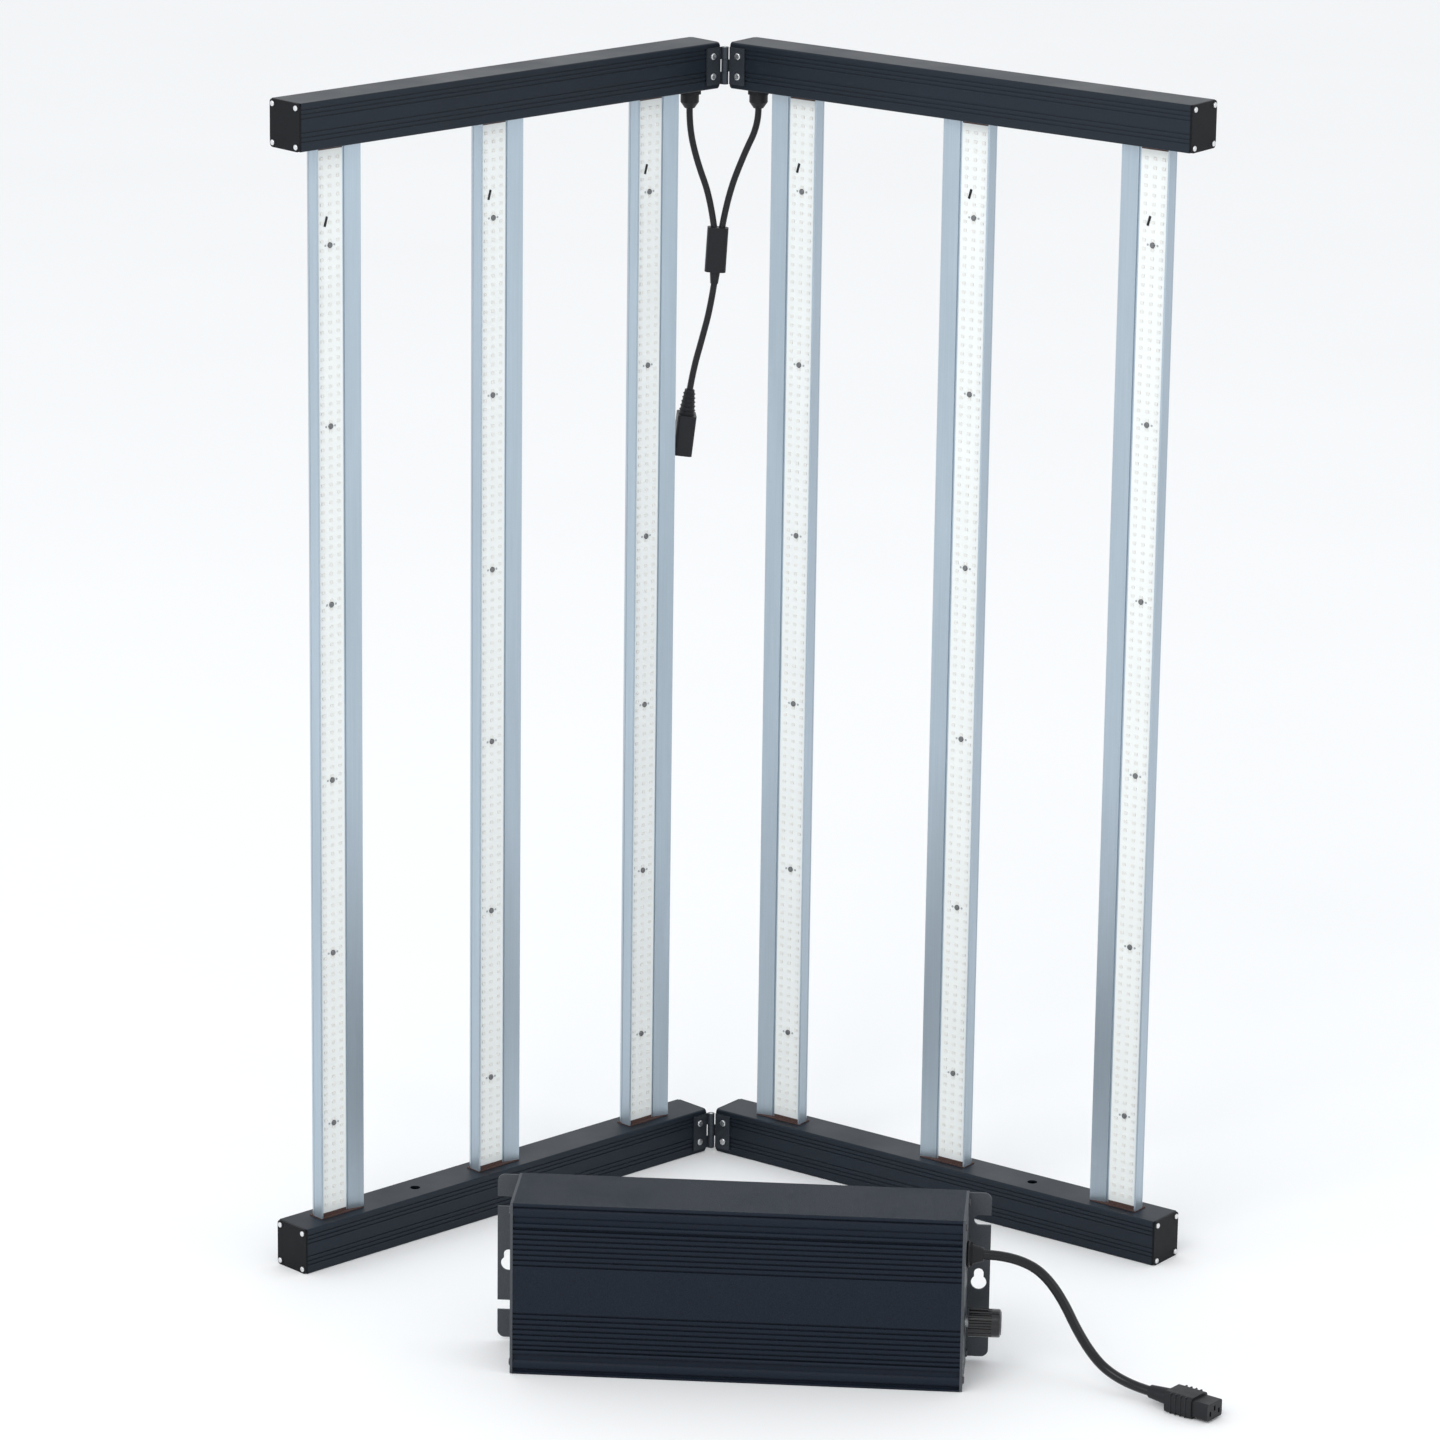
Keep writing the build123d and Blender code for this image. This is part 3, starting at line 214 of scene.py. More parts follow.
class Finish:
    """A material while its nodes are laid."""

    def __init__(self, name, **fixed):
        self.material = bpy.data.materials.new(name)
        self.material.use_nodes = True
        self.tree = self.material.node_tree
        self.shader = self.tree.nodes["Principled BSDF"]
        for key, value in fixed.items():
            self.set(key.replace("_", " ").title().replace("Ior", "IOR"), value)

    def set(self, key, value):
        """Gives one of the shader's sockets a value or a link."""
        self.feed(self.shader.inputs[key], value)

    def feed(self, socket, value):
        if isinstance(value, Signal):
            self.tree.links.new(value.socket, socket)
        else:
            socket.default_value = value

    def node(self, kind, settings=None, values=None, output=0):
        """Adds any node: its settings first, then the values or links of its sockets."""
        made = self.tree.nodes.new(kind)
        for key, value in (settings or {}).items():
            if key == "stops":
                while len(made.color_ramp.elements) < len(value):
                    made.color_ramp.elements.new(1.0)
                for element, (place, colour) in zip(made.color_ramp.elements, value):
                    element.position = place
                    element.color = colour
            else:
                setattr(made, key, value)
        for key, value in (values or {}).items():
            self.feed(made.inputs[key], value)
        return Signal(self, made.outputs[output])

    def place(self, turn=0.0, stretch=(1, 1, 1), middle=(0, 0, 0)):
        """Where a point is, in axes turned about Z at middle, with each axis stretched."""
        here = self.node("ShaderNodeTexCoord", output=3)
        back = Matrix.Rotation(math.radians(-turn), 4, "Z") @ Matrix.Translation(-Vector(middle))
        settled = self.node("ShaderNodeMapping", {"vector_type": "POINT"}, {
            "Vector": here, "Location": back.translation, "Rotation": (0, 0, math.radians(-turn))})
        return self.node("ShaderNodeVectorMath", {"operation": "MULTIPLY"}, {0: settled, 1: stretch})

    def noise(self, where, scale, detail=3.0, roughness=0.55):
        values = {"Vector": where, "Scale": scale, "Detail": detail, "Roughness": roughness}
        return self.node("ShaderNodeTexNoise", {}, values)

    def cells(self, where, scale, feature="F1", output=0):
        values = {"Vector": where, "Scale": scale}
        return self.node("ShaderNodeTexVoronoi", {"feature": feature}, values, output)

    def range(self, value, low, high, to_low=0.0, to_high=1.0):
        """Spreads value from low..high to to_low..to_high, and holds it there."""
        values = {"Value": value, 1: low, 2: high, 3: to_low, 4: to_high}
        return self.node("ShaderNodeMapRange", {"clamp": True}, values)

    def mix(self, factor, first, second):
        """Colours blended by factor."""
        return self.node("ShaderNodeMix", {"data_type": "RGBA"}, {0: factor, 6: first, 7: second}, 2)

    def part(self, where, axis):
        """One of the three numbers of a place."""
        return self.node("ShaderNodeSeparateXYZ", {}, {0: where}, "XYZ".index(axis))

    def bump(self, height, distance, strength=1.0, under=None):
        values = {"Height": height, "Distance": distance, "Strength": strength}
        if under is not None:
            values["Normal"] = under
        return self.node("ShaderNodeBump", {}, values)


def shade(colour, factor):
    """The colour made lighter or darker."""
    return tuple(min(1.0, c * factor) for c in colour[:3]) + (1.0,)


def wing_place(finish, side, stretch=(1, 1, 1)):
    return finish.place(WING_TURN[side], stretch, HINGE)


# ------------------------------------------------------------------ finishes

def satin_bars(side):
    """Clear anodised extrusion: fine die lines along the bar, faint bands and handling marks."""
    colours = bpy.context.scene.grow_light_colours
    f = Finish(f"satin_bars_{side}", metallic=0.82, specular_tint=(1, 1, 1, 1))
    along = wing_place(f, side, (1, 1, 0.004))
    lines = f.noise(along, 1900, 4, 0.7)
    bands = f.noise(wing_place(f, side, (1, 1, 0.12)), 42, 3)
    marks = f.range(f.noise(f.place(), 75, 6, 0.72), 0.60, 0.74)
    tone = f.mix(bands, shade(colours.aluminium, 0.86), shade(colours.aluminium, 1.10))
    lined = f.mix(f.range(lines, 0.35, 0.65, 0.0, 0.30), tone, shade(colours.aluminium, 0.72))
    f.set("Base Color", f.mix(marks * 0.16, lined, shade(colours.aluminium, 1.25)))
    f.set("Roughness", f.range(lines, 0.3, 0.7, 0.36, 0.48) + marks * 0.06)
    f.set("Normal", f.bump(lines, 0.00006, 0.35))
    return f.material


def black_rails(side):
    """Black anodised extrusion: grain along the rail, grey scuffs, dull polished patches."""
    colours = bpy.context.scene.grow_light_colours
    f = Finish(f"black_rails_{side}", metallic=0.45, specular_ior_level=0.4)
    along = wing_place(f, side, (0.006, 1, 1))
    lines = f.noise(along, 1700, 4, 0.65)
    cloud = f.noise(f.place(), 11, 4)
    scuffs = f.range(f.noise(wing_place(f, side, (0.35, 1, 1)), 160, 8, 0.78), 0.66, 0.78)
    base = f.mix(cloud, shade(colours.rail, 0.80), shade(colours.rail, 1.25))
    lined = f.mix(f.range(lines, 0.4, 0.75, 0.0, 0.14), base, shade(colours.rail, 1.5))
    f.set("Base Color", f.mix(scuffs * 0.10, lined, (0.12, 0.13, 0.15, 1)))
    f.set("Roughness", f.range(cloud, 0.3, 0.7, 0.38, 0.50) + scuffs * 0.12)
    f.set("Normal", f.bump(lines, 0.00002, 0.25))
    return f.material


def white_board(side):
    """White solder mask over copper, whose tracks show as faint steps between the LEDs."""
    colours = bpy.context.scene.grow_light_colours
    f = Finish(f"white_board_{side}", specular_ior_level=0.5)
    here = wing_place(f, side)
    tracks = f.node("ShaderNodeTexBrick", {"offset": 0.5, "squash": 1.0}, {
        "Vector": wing_place(f, side, (1, 0, 1)), "Scale": 1.0, "Mortar Size": 0.0004,
        "Mortar Smooth": 0.4, "Brick Width": 0.0098, "Row Height": 0.01748}, 1)
    stain = f.noise(here, 26, 4)
    grain = f.noise(here, 2600, 2)
    base = f.mix(stain, shade(colours.board, 0.95), shade(colours.board, 1.04))
    f.set("Base Color", f.mix(tracks * 0.10, base, (0.62, 0.66, 0.62, 1)))
    f.set("Roughness", f.range(grain, 0.3, 0.7, 0.32, 0.46))
    f.set("Normal", f.bump(grain * 0.3 - tracks, 0.00004, 0.6))
    return f.material


def led_package():
    f = Finish("led_package")
    grain = f.noise(f.place(), 3000, 2)
    f.set("Base Color", f.mix(grain, (0.72, 0.72, 0.69, 1), (0.82, 0.82, 0.79, 1)))
    f.set("Roughness", f.range(grain, 0.3, 0.7, 0.35, 0.5))
    return f.material


def led_phosphor():
    """Silicone dome over phosphor; each LED has a slightly different yellow."""
    colours = bpy.context.scene.grow_light_colours
    f = Finish("led_phosphor")
    each = f.noise(f.place(), 210, 1)
    f.set("Base Color", f.mix(each, shade(colours.phosphor, 0.92), (0.84, 0.74, 0.44, 1)))
    f.set("Roughness", f.range(each, 0.3, 0.7, 0.18, 0.30))
    return f.material


# Painted shade: the dark reddish-brown seal strips stand in for the shadow at the bars' ends beyond the
# boards.
def painted_shade_seal():
    f = Finish("painted_shade_seal", specular_ior_level=0.35)
    mottle = f.noise(f.place(), 420, 5, 0.6)
    f.set("Base Color", f.mix(mottle, (0.050, 0.026, 0.022, 1), (0.115, 0.065, 0.056, 1)))
    f.set("Roughness", f.range(mottle, 0.3, 0.7, 0.55, 0.72))
    f.set("Normal", f.bump(mottle, 0.00015, 0.5))
    return f.material


def bright_screws():
    """Zinc plated steel: turned rings are too fine to follow, so a mottled, hazy plate."""
    f = Finish("bright_screws", metallic=1.0)
    haze = f.noise(f.place(), 1300, 4, 0.7)
    tint = f.noise(f.place(), 300, 2)
    f.set("Base Color", f.mix(tint, (0.62, 0.63, 0.66, 1), (0.84, 0.84, 0.82, 1)))
    f.set("Roughness", f.range(haze, 0.3, 0.7, 0.20, 0.38))
    f.set("Normal", f.bump(haze, 0.00008, 0.4))
    return f.material


def powder(name, colour, pale, roughness, grain, metallic=0.0, depth=0.00012):
    """Textured paint: rounded grains, with painted shade in the hollows between them and painted light on
    their tops, and slight dust.
    """
    f = Finish(name, metallic=metallic, specular_ior_level=0.14)
    here = f.place()
    orange = f.cells(here, grain, "SMOOTH_F1")
    fine = f.noise(here, grain * 2.1, 3, 0.6)
    dust = f.range(f.noise(here, 16, 6, 0.65), 0.46, 0.74)
    grain_height_and_shade = f.range(orange + fine * 0.5, 0.35, 1.05)
    # Painted shade and light: pale on the raised grains, the darker colour in the hollows, following the
    # bump.
    base = f.mix(grain_height_and_shade, pale, colour)
    f.set("Base Color", f.mix(dust * 0.08, base, shade(pale, 1.7)))
    f.set("Roughness", f.range(fine, 0.3, 0.7, roughness - 0.06, roughness + 0.06) + dust * 0.08)
    f.set("Normal", f.bump(grain_height_and_shade * -1.0, depth, 0.7))
    return f.material


def black_caps():
    return powder("black_caps", (0.002, 0.003, 0.0045, 1), (0.005, 0.006, 0.008, 1), 0.50, 1500)


def hinge_coat():
    return powder("hinge_coat", (0.030, 0.036, 0.044, 1), (0.060, 0.070, 0.084, 1), 0.36, 1900, 0.5, 0.00005)


def driver_coat():
    colours = bpy.context.scene.grow_light_colours
    return powder("driver_coat", tuple(colours.driver), shade(colours.driver, 2.0), 0.44, 1150, 0.1, 0.00016)


def end_coat():
    """Smoother, greyer paint on the driver's end plates and mounting flanges."""
    return powder("end_coat", (0.055, 0.062, 0.070, 1), (0.085, 0.092, 0.102, 1), 0.42, 2100, 0.2, 0.00004)


def dull_screws():
    """Darkened steel heads of the screws in the boards."""
    f = Finish("dull_screws", metallic=0.9)
    haze = f.noise(f.place(), 1300, 4, 0.7)
    f.set("Base Color", f.mix(haze, (0.10, 0.105, 0.11, 1), (0.26, 0.265, 0.27, 1)))
    f.set("Roughness", f.range(haze, 0.3, 0.7, 0.26, 0.42))
    return f.material


def solder_dots():
    f = Finish("solder_dots", metallic=0.6)
    grain = f.noise(f.place(), 1800, 3)
    f.set("Base Color", f.mix(grain, (0.30, 0.32, 0.33, 1), (0.52, 0.53, 0.53, 1)))
    f.set("Roughness", f.range(grain, 0.3, 0.7, 0.35, 0.55))
    return f.material


def zinc_bracket():
    """Galvanised steel with the large flat crystals of its plating."""
    f = Finish("zinc_bracket", metallic=0.95)
    here = f.place()
    crystals = f.node("ShaderNodeSeparateColor", {}, {0: f.cells(here, 190, output=1)})
    streak = f.noise(here, 900, 4, 0.7)
    f.set("Base Color", f.mix(crystals, (0.44, 0.46, 0.48, 1), (0.66, 0.67, 0.68, 1)))
    f.set("Roughness", f.range(crystals * 0.5 + streak * 0.5, 0.2, 0.8, 0.28, 0.50))
    f.set("Normal", f.bump(streak, 0.00006, 0.3))
    return f.material


def moulded(name, dark, pale, roughness, spark=2300, depth=0.00006, coat=0.0):
    """Moulded plastic with the fine texture of a spark-eroded tool and slight handling shine."""
    f = Finish(name, specular_ior_level=0.2, coat_roughness=0.2, coat_weight=coat)
    here = f.place()
    fine = f.noise(here, spark, 3, 0.6)
    shine = f.noise(here, 60, 3)
    f.set("Base Color", f.mix(f.range(fine, 0.3, 0.7), dark, pale))
    f.set("Roughness", f.range(shine, 0.3, 0.7, roughness - 0.05, roughness + 0.07))
    f.set("Normal", f.bump(fine, depth, 0.6))
    return f.material


def gland_nylon():
    return moulded("gland_nylon", (0.009, 0.009, 0.010, 1), (0.020, 0.021, 0.023, 1), 0.42)


def plug_pvc():
    return moulded("plug_pvc", (0.009, 0.009, 0.011, 1), (0.020, 0.021, 0.024, 1), 0.40)


def lead_jacket():
    return moulded("lead_jacket", (0.010, 0.010, 0.012, 1), (0.024, 0.025, 0.028, 1), 0.40, 1200, 0.0001)


def output_jacket():
    dark, pale = (0.003, 0.0035, 0.005, 1), (0.006, 0.007, 0.009, 1)
    return moulded("output_jacket", dark, pale, 0.25, 900, 0.00008, 0.3)


def knob_gloss():
    return moulded("knob_gloss", (0.005, 0.005, 0.006, 1), (0.009, 0.009, 0.010, 1), 0.16, 700, 0.00002, 0.6)


def black_zinc():
    f = Finish("black_zinc", metallic=0.9)
    haze = f.noise(f.place(), 1100, 4, 0.7)
    f.set("Base Color", f.mix(haze, (0.050, 0.052, 0.060, 1), (0.13, 0.13, 0.14, 1)))
    f.set("Roughness", f.range(haze, 0.3, 0.7, 0.28, 0.44))
    return f.material


def terminal_nylon():
    return moulded("terminal_nylon", (0.60, 0.58, 0.50, 1), (0.74, 0.72, 0.64, 1), 0.45, 1500, 0.00005)


def blade_plate():
    f = Finish("blade_plate", metallic=1.0)
    rub = f.noise(f.place(stretch=(1, 1, 0.1)), 1500, 3)
    f.set("Base Color", f.mix(rub, (0.66, 0.60, 0.46, 1), (0.80, 0.76, 0.66, 1)))
    f.set("Roughness", f.range(rub, 0.3, 0.7, 0.22, 0.40))
    return f.material


def green_laminate():
    f = Finish("green_laminate", specular_ior_level=0.5)
    weave = f.noise(f.place(), 800, 2)
    f.set("Base Color", f.mix(weave, (0.012, 0.09, 0.04, 1), (0.03, 0.17, 0.08, 1)))
    f.set("Roughness", f.range(weave, 0.3, 0.7, 0.3, 0.45))
    return f.material


def varnished_core():
    f = Finish("varnished_core", metallic=0.3)
    layers = f.noise(f.place(stretch=(1, 1, 0.05)), 1600, 2)
    f.set("Base Color", f.mix(layers, (0.12, 0.07, 0.03, 1), (0.34, 0.22, 0.09, 1)))
    f.set("Roughness", f.range(layers, 0.3, 0.7, 0.35, 0.55))
    return f.material


PLAIN_FINISHES = {
    "seal_rubber": painted_shade_seal, "screw_steel": bright_screws, "cap_black": black_caps,
    "hinge_black": hinge_coat, "bracket_steel": zinc_bracket, "gland_nylon": gland_nylon,
    "terminal_plastic": terminal_nylon, "blade_metal": blade_plate, "moulded_black": plug_pvc,
    "cord_jacket": lead_jacket, "cord_gloss": output_jacket, "driver_coating": driver_coat,
    "driver_screw": black_zinc, "knob_gloss": knob_gloss, "circuit_board": green_laminate,
    "coil_steel": varnished_core,
}
WING_FINISHES = {"rail_anodised": black_rails, "bar_aluminium": satin_bars, "board_white": white_board}
NODE_FINISHES = {
    "driver_end_plate_left": end_coat, "driver_end_plate_right": end_coat, "driver_mount_flanges": end_coat,
    "board_screws_left": dull_screws, "board_screws_right": dull_screws,
}
MADE = {}


def finish_for(slot_name, side=""):
    """The material for a slot, made the first time it is asked for."""
    key = (slot_name, side if slot_name in WING_FINISHES else "")
    if key not in MADE:
        if slot_name in WING_FINISHES:
            MADE[key] = WING_FINISHES[slot_name](side)
        else:
            MADE[key] = PLAIN_FINISHES[slot_name]()
    return MADE[key]


# ------------------------------------------------------------------ modelling

def start_clean():
    """Object mode with nothing selected."""
    if bpy.context.object is not None and bpy.context.object.mode != "OBJECT":
        bpy.ops.object.mode_set(mode="OBJECT")
    bpy.ops.object.select_all(action="DESELECT")


def dress(obj, slot_name, *materials):
    """Gives a piece its materials."""
    obj.data.materials.clear()
    for material in materials:
        obj.data.materials.append(material)


def wing_matrix(side):
    return Matrix.Translation(HINGE) @ Matrix.Rotation(math.radians(WING_TURN[side]), 4, "Z")


def wing_box(node, side):
    """Lowest and highest corner of a CAD node in its wing's own axes."""
    back = wing_matrix(side).inverted()
    places = [back @ v.co for v in frame["nodes"][node].data.vertices]
    low = Vector([min(p[k] for p in places) for k in range(3)])
    high = Vector([max(p[k] for p in places) for k in range(3)])
    return low, high


def gather(name, shape, places):
    """One new object that holds a copy of shape at each place."""
    mesh = bpy.data.meshes.new(name)
    work = bmesh.new()
    for place in places:
        first = len(work.verts)
        work.from_mesh(shape)
        work.verts.ensure_lookup_table()
        for vert in work.verts[first:]:
            vert.co = place @ vert.co
    work.to_mesh(mesh)
    work.free()
    obj = bpy.data.objects.new(name, mesh)
    bpy.context.collection.objects.link(obj)
    return obj


def seat_at(x, y, z):
    return Matrix.Translation((x, y, z))


def led_shape(sizes):
    """A package whose top is inset to a shallow window of phosphor; it faces -Y."""
    start_clean()
    bpy.ops.mesh.primitive_cube_add(size=1, location=(0, 0, 0))
    shape = bpy.context.object
    shape.scale = (sizes.width, sizes.thickness, sizes.height)
    bpy.ops.object.transform_apply(location=False, rotation=False, scale=True)
    for vert in shape.data.vertices:
        vert.co.y -= sizes.thickness / 2
    bpy.ops.object.mode_set(mode="EDIT")
    bpy.ops.mesh.select_mode(type="FACE")
    bpy.ops.mesh.select_all(action="DESELECT")
    bpy.ops.object.mode_set(mode="OBJECT")
    for face in shape.data.polygons:
        face.select = face.normal.y < -0.9
    bpy.ops.object.mode_set(mode="EDIT")
    bpy.ops.mesh.inset(thickness=0.0005)
    bpy.ops.mesh.extrude_region_move(TRANSFORM_OT_translate={"value": (0, 0.00025, 0)})
    bpy.ops.object.mode_set(mode="OBJECT")
    for face in shape.data.polygons:
        face.material_index = 1 if face.select else 0
    return shape


class GROWLIGHT_OT_camera(bpy.types.Operator):
    """Place the camera"""
    bl_idname = "growlight.camera"
    bl_label = "Camera"

    def execute(self, context):
        heading, drop, roll = (math.radians(a) for a in (CAMERA_HEADING, CAMERA_DROP, CAMERA_ROLL))
        level = math.cos(drop)
        ahead = Vector((-math.sin(heading) * level, math.cos(heading) * level, -math.sin(drop)))
        right = Vector((math.cos(heading), math.sin(heading), 0))
        up = right.cross(ahead)
        along, across = math.cos(roll), math.sin(roll)
        right, up = right * along + up * across, up * along - right * across
        data = bpy.data.cameras.new("camera")
        data.lens = CAMERA_LENS
        data.clip_start, data.clip_end = 0.1, 200
        camera = bpy.data.objects.new("camera", data)
        turn = Matrix((right, up, -ahead)).transposed().to_4x4()
        camera.matrix_world = Matrix.Translation(CAMERA_AT) @ turn
        context.collection.objects.link(camera)
        context.scene.camera = camera
        return {"FINISHED"}


def lead_point(across, height):
    turn = Matrix.Rotation(math.radians(LIGHT_TURN), 4, "Z")
    return HINGE + turn @ Vector((across, LEAD_PLANE, height))


def cord_curve(name, route, diameter):
    """A smooth spline with the route's points as its control points."""
    data = bpy.data.curves.new(name, "CURVE")
    data.dimensions = "3D"
    spline = data.splines.new("NURBS")
    spline.points.add(len(route) - 1)
    for point, place in zip(spline.points, route):
        point.co = (*place, 1)
    spline.order_u = 3
    spline.use_endpoint_u = True
    spline.resolution_u = 12
    data.bevel_depth = diameter / 2
    data.bevel_resolution = 5
    data.use_fill_caps = True
    obj = bpy.data.objects.new(name, data)
    bpy.context.collection.objects.link(obj)
    return obj


def spline_points(curve):
    """Points along a cord's own spline."""
    depth = curve.data.bevel_depth
    curve.data.bevel_depth = 0
    bpy.context.view_layer.update()
    mesh = bpy.data.meshes.new_from_object(curve)
    curve.data.bevel_depth = depth
    bpy.context.view_layer.update()
    return [v.co.copy() for v in mesh.vertices]


class GROWLIGHT_OT_cords(bpy.types.Operator):
    """Lay the fork lead and the driver's output cord"""
    bl_idname = "growlight.cords"
    bl_label = "Cords"

    def execute(self, context):
        sizes = context.scene.grow_light_cords
        left = [lead_point(*p) for p in LEAD_LEFT]
        right = [lead_point(*p) for p in LEAD_RIGHT]
        tail = [lead_point(*p) for p in LEAD_TAIL]
        output = [DRIVER + Vector(p) for p in OUTPUT_CORD]

        branch = cord_curve("branch_left", left, sizes.lead)
        dress(branch, "cord_jacket", finish_for("cord_jacket"))
        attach(branch, "left_wing")
        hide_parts("lead_left")

        drawn = cord_curve("branch_right_line", right, sizes.lead)
        path = spline_points(drawn)
        mesh = bpy.data.meshes.new_from_object(drawn)
        bpy.data.objects.remove(drawn)
        flex = bpy.data.objects.new("branch_right", mesh)
        context.collection.objects.link(flex)
        dress(flex, "cord_jacket", finish_for("cord_jacket"))
        mesh.polygons.foreach_set("use_smooth", [True] * len(mesh.polygons))
        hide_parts("lead_right")
        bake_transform(flex)

        lead = cord_curve("lead_tail_cord", tail, sizes.lead)
        dress(lead, "cord_jacket", finish_for("cord_jacket"))
        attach(lead, "left_wing")
        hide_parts("lead_tail")

        cord = cord_curve("driver_cord", output, sizes.output)
        dress(cord, "cord_gloss", finish_for("cord_gloss"))
        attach(cord, "driver")
        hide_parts("output_cord")
        return {"FINISHED"}


class GROWLIGHT_OT_leds(bpy.types.Operator):
    """Fit rows of LEDs on the boards"""
    bl_idname = "growlight.leds"
    bl_label = "LEDs"

    def execute(self, context):
        sizes = context.scene.grow_light_leds
        shape = led_shape(sizes)
        package, phosphor = led_package(), led_phosphor()
        rises = [(k - (sizes.rows - 1) / 2) * sizes.row_pitch for k in range(sizes.rows)]
        steps = [(k - (sizes.columns - 1) / 2) * sizes.column_pitch for k in range(sizes.columns)]
        for side in SIDES:
            for bar in (1, 2, 3):
                low, high = wing_box(f"led_board_{bar}_{side}", side)
                middle = (low + high) / 2
                seats = [seat_at(middle.x + x, low.y, middle.z + z) for x in steps for z in rises]
                leds = gather(f"leds_{bar}_{side}", shape.data, [wing_matrix(side) @ seat for seat in seats])
                dress(leds, "board_white", package, phosphor)
                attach(leds, f"{side}_wing")
        bpy.data.objects.remove(shape)
        return {"FINISHED"}


def disc_shape(radius, thickness, sides):
    """A dome-edged disc that faces -Y."""
    start_clean()
    bpy.ops.mesh.primitive_cylinder_add(
        vertices=sides, radius=radius, depth=thickness, location=(0, 0, 0), rotation=(math.pi / 2, 0, 0))
    disc = bpy.context.object
    bpy.ops.object.transform_apply(location=False, rotation=True, scale=False)
    for face in disc.data.polygons:
        face.select = face.normal.y < -0.9
    bpy.ops.object.mode_set(mode="EDIT")
    bpy.ops.mesh.select_mode(type="FACE")
    bpy.ops.mesh.inset(thickness=radius * 0.25)
    bpy.ops.transform.translate(value=(0, -thickness * 0.4, 0))
    bpy.ops.object.mode_set(mode="OBJECT")
    return disc


def rounded_block(size, rounding):
    """A block about the origin with rounded edges."""
    start_clean()
    bpy.ops.mesh.primitive_cube_add(size=1, location=(0, 0, 0))
    block = bpy.context.object
    block.scale = size
    bpy.ops.object.transform_apply(location=False, rotation=False, scale=True)
    edge = block.modifiers.new("rounding", "BEVEL")
    edge.width = rounding
    edge.segments = 3
    bpy.ops.object.modifier_apply(modifier=edge.name)
    return block


def ring_shape(radius, bead, flat):
    """A bead bent to a ring about Z and flattened to the share flat."""
    start_clean()
    bpy.ops.mesh.primitive_torus_add(
        location=(0, 0, 0), major_segments=40, minor_segments=10, major_radius=radius, minor_radius=bead)
    ring = bpy.context.object
    ring.scale = (1, 1, flat)
    bpy.ops.object.transform_apply(location=False, rotation=False, scale=True)
    return ring


def merge_shapes(name, shapes_at):
    """One object that holds each shape at its place; the shapes are then taken away."""
    work = bmesh.new()
    for shape, place in shapes_at:
        first = len(work.verts)
        work.from_mesh(shape.data)
        work.verts.ensure_lookup_table()
        for vert in work.verts[first:]:
            vert.co = place @ vert.co
    mesh = bpy.data.meshes.new(name)
    work.to_mesh(mesh)
    work.free()
    for shape in {shape for shape, place in shapes_at}:
        bpy.data.objects.remove(shape)
    obj = bpy.data.objects.new(name, mesh)
    bpy.context.collection.objects.link(obj)
    mesh.polygons.foreach_set("use_smooth", [True] * len(mesh.polygons))
    return obj


class GROWLIGHT_OT_board_details(bpy.types.Operator):
    """Fit the solder dots beside the board screws and the wires that enter each board"""
    bl_idname = "growlight.board_details"
    bl_label = "Board details"

    def execute(self, context):
        sizes = context.scene.grow_light_details
        dots = solder_dots()
        last = SCREWS_ON_BOARD - 1
        for side in SIDES:
            dot = disc_shape(sizes.dot, DOT_THICKNESS, DOT_SIDES)
            wire = rounded_block((WIRE_WIDTH, WIRE_THICKNESS, sizes.wire), WIRE_ROUNDING)
            dot_seats, wire_seats = [], []
            tilt = Matrix.Rotation(math.radians(sizes.wire_tilt), 4, "Y")
            for bar in (1, 2, 3):
                low, high = wing_box(f"led_board_{bar}_{side}", side)
                middle = (low + high) / 2
                for k in range(SCREWS_ON_BOARD):
                    z = middle.z + (k - last / 2) * sizes.screw_pitch
                    for x in (-sizes.dot_offset, sizes.dot_offset):
                        dot_seats.append(wing_matrix(side) @ seat_at(middle.x + x, low.y - DOT_SINK, z))
                top_screw = middle.z + last / 2 * sizes.screw_pitch
                rise = top_screw + sizes.wire_rise
                seat = seat_at(middle.x - sizes.wire_offset, low.y - WIRE_SINK, rise)
                wire_seats.append(wing_matrix(side) @ seat @ tilt)
            piece = gather(f"board_dots_{side}", dot.data, dot_seats)
            dress(piece, "board_white", dots)
            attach(piece, f"{side}_wing")
            piece = gather(f"board_wires_{side}", wire.data, wire_seats)
            dress(piece, "cord_jacket", finish_for("cord_jacket"))
            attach(piece, f"{side}_wing")
            bpy.data.objects.remove(dot)
            bpy.data.objects.remove(wire)
        return {"FINISHED"}


class GROWLIGHT_OT_plug_ribs(bpy.types.Operator):
    """Fit the ribs of the plug's strain relief"""
    bl_idname = "growlight.plug_ribs"
    bl_label = "Plug ribs"

    def execute(self, context):
        sizes = context.scene.grow_light_details
        tilt = math.radians(PLUG_TILT)
        start = lead_point(*LEAD_TAIL[-1])
        across, height = LEAD_TAIL[-1]
        down = (lead_point(across - math.sin(tilt), height - math.cos(tilt)) - start).normalized()
        turn = down.to_track_quat("Z", "Y").to_matrix().to_4x4()
        shapes_at = []
        for k in range(sizes.ribs):
            along = PLUG_RELIEF * (k + 1) / (sizes.ribs + 1)
            radius = sizes.relief_start + (sizes.relief_end - sizes.relief_start) * along / PLUG_RELIEF
            ring = ring_shape(radius, PLUG_RIB_BEAD, PLUG_RIB_FLAT)
            shapes_at.append((ring, Matrix.Translation(start + down * along) @ turn))
        piece = merge_shapes("plug_ribs", shapes_at)
        dress(piece, "moulded_black", finish_for("moulded_black"))
        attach(piece, "left_wing")
        return {"FINISHED"}


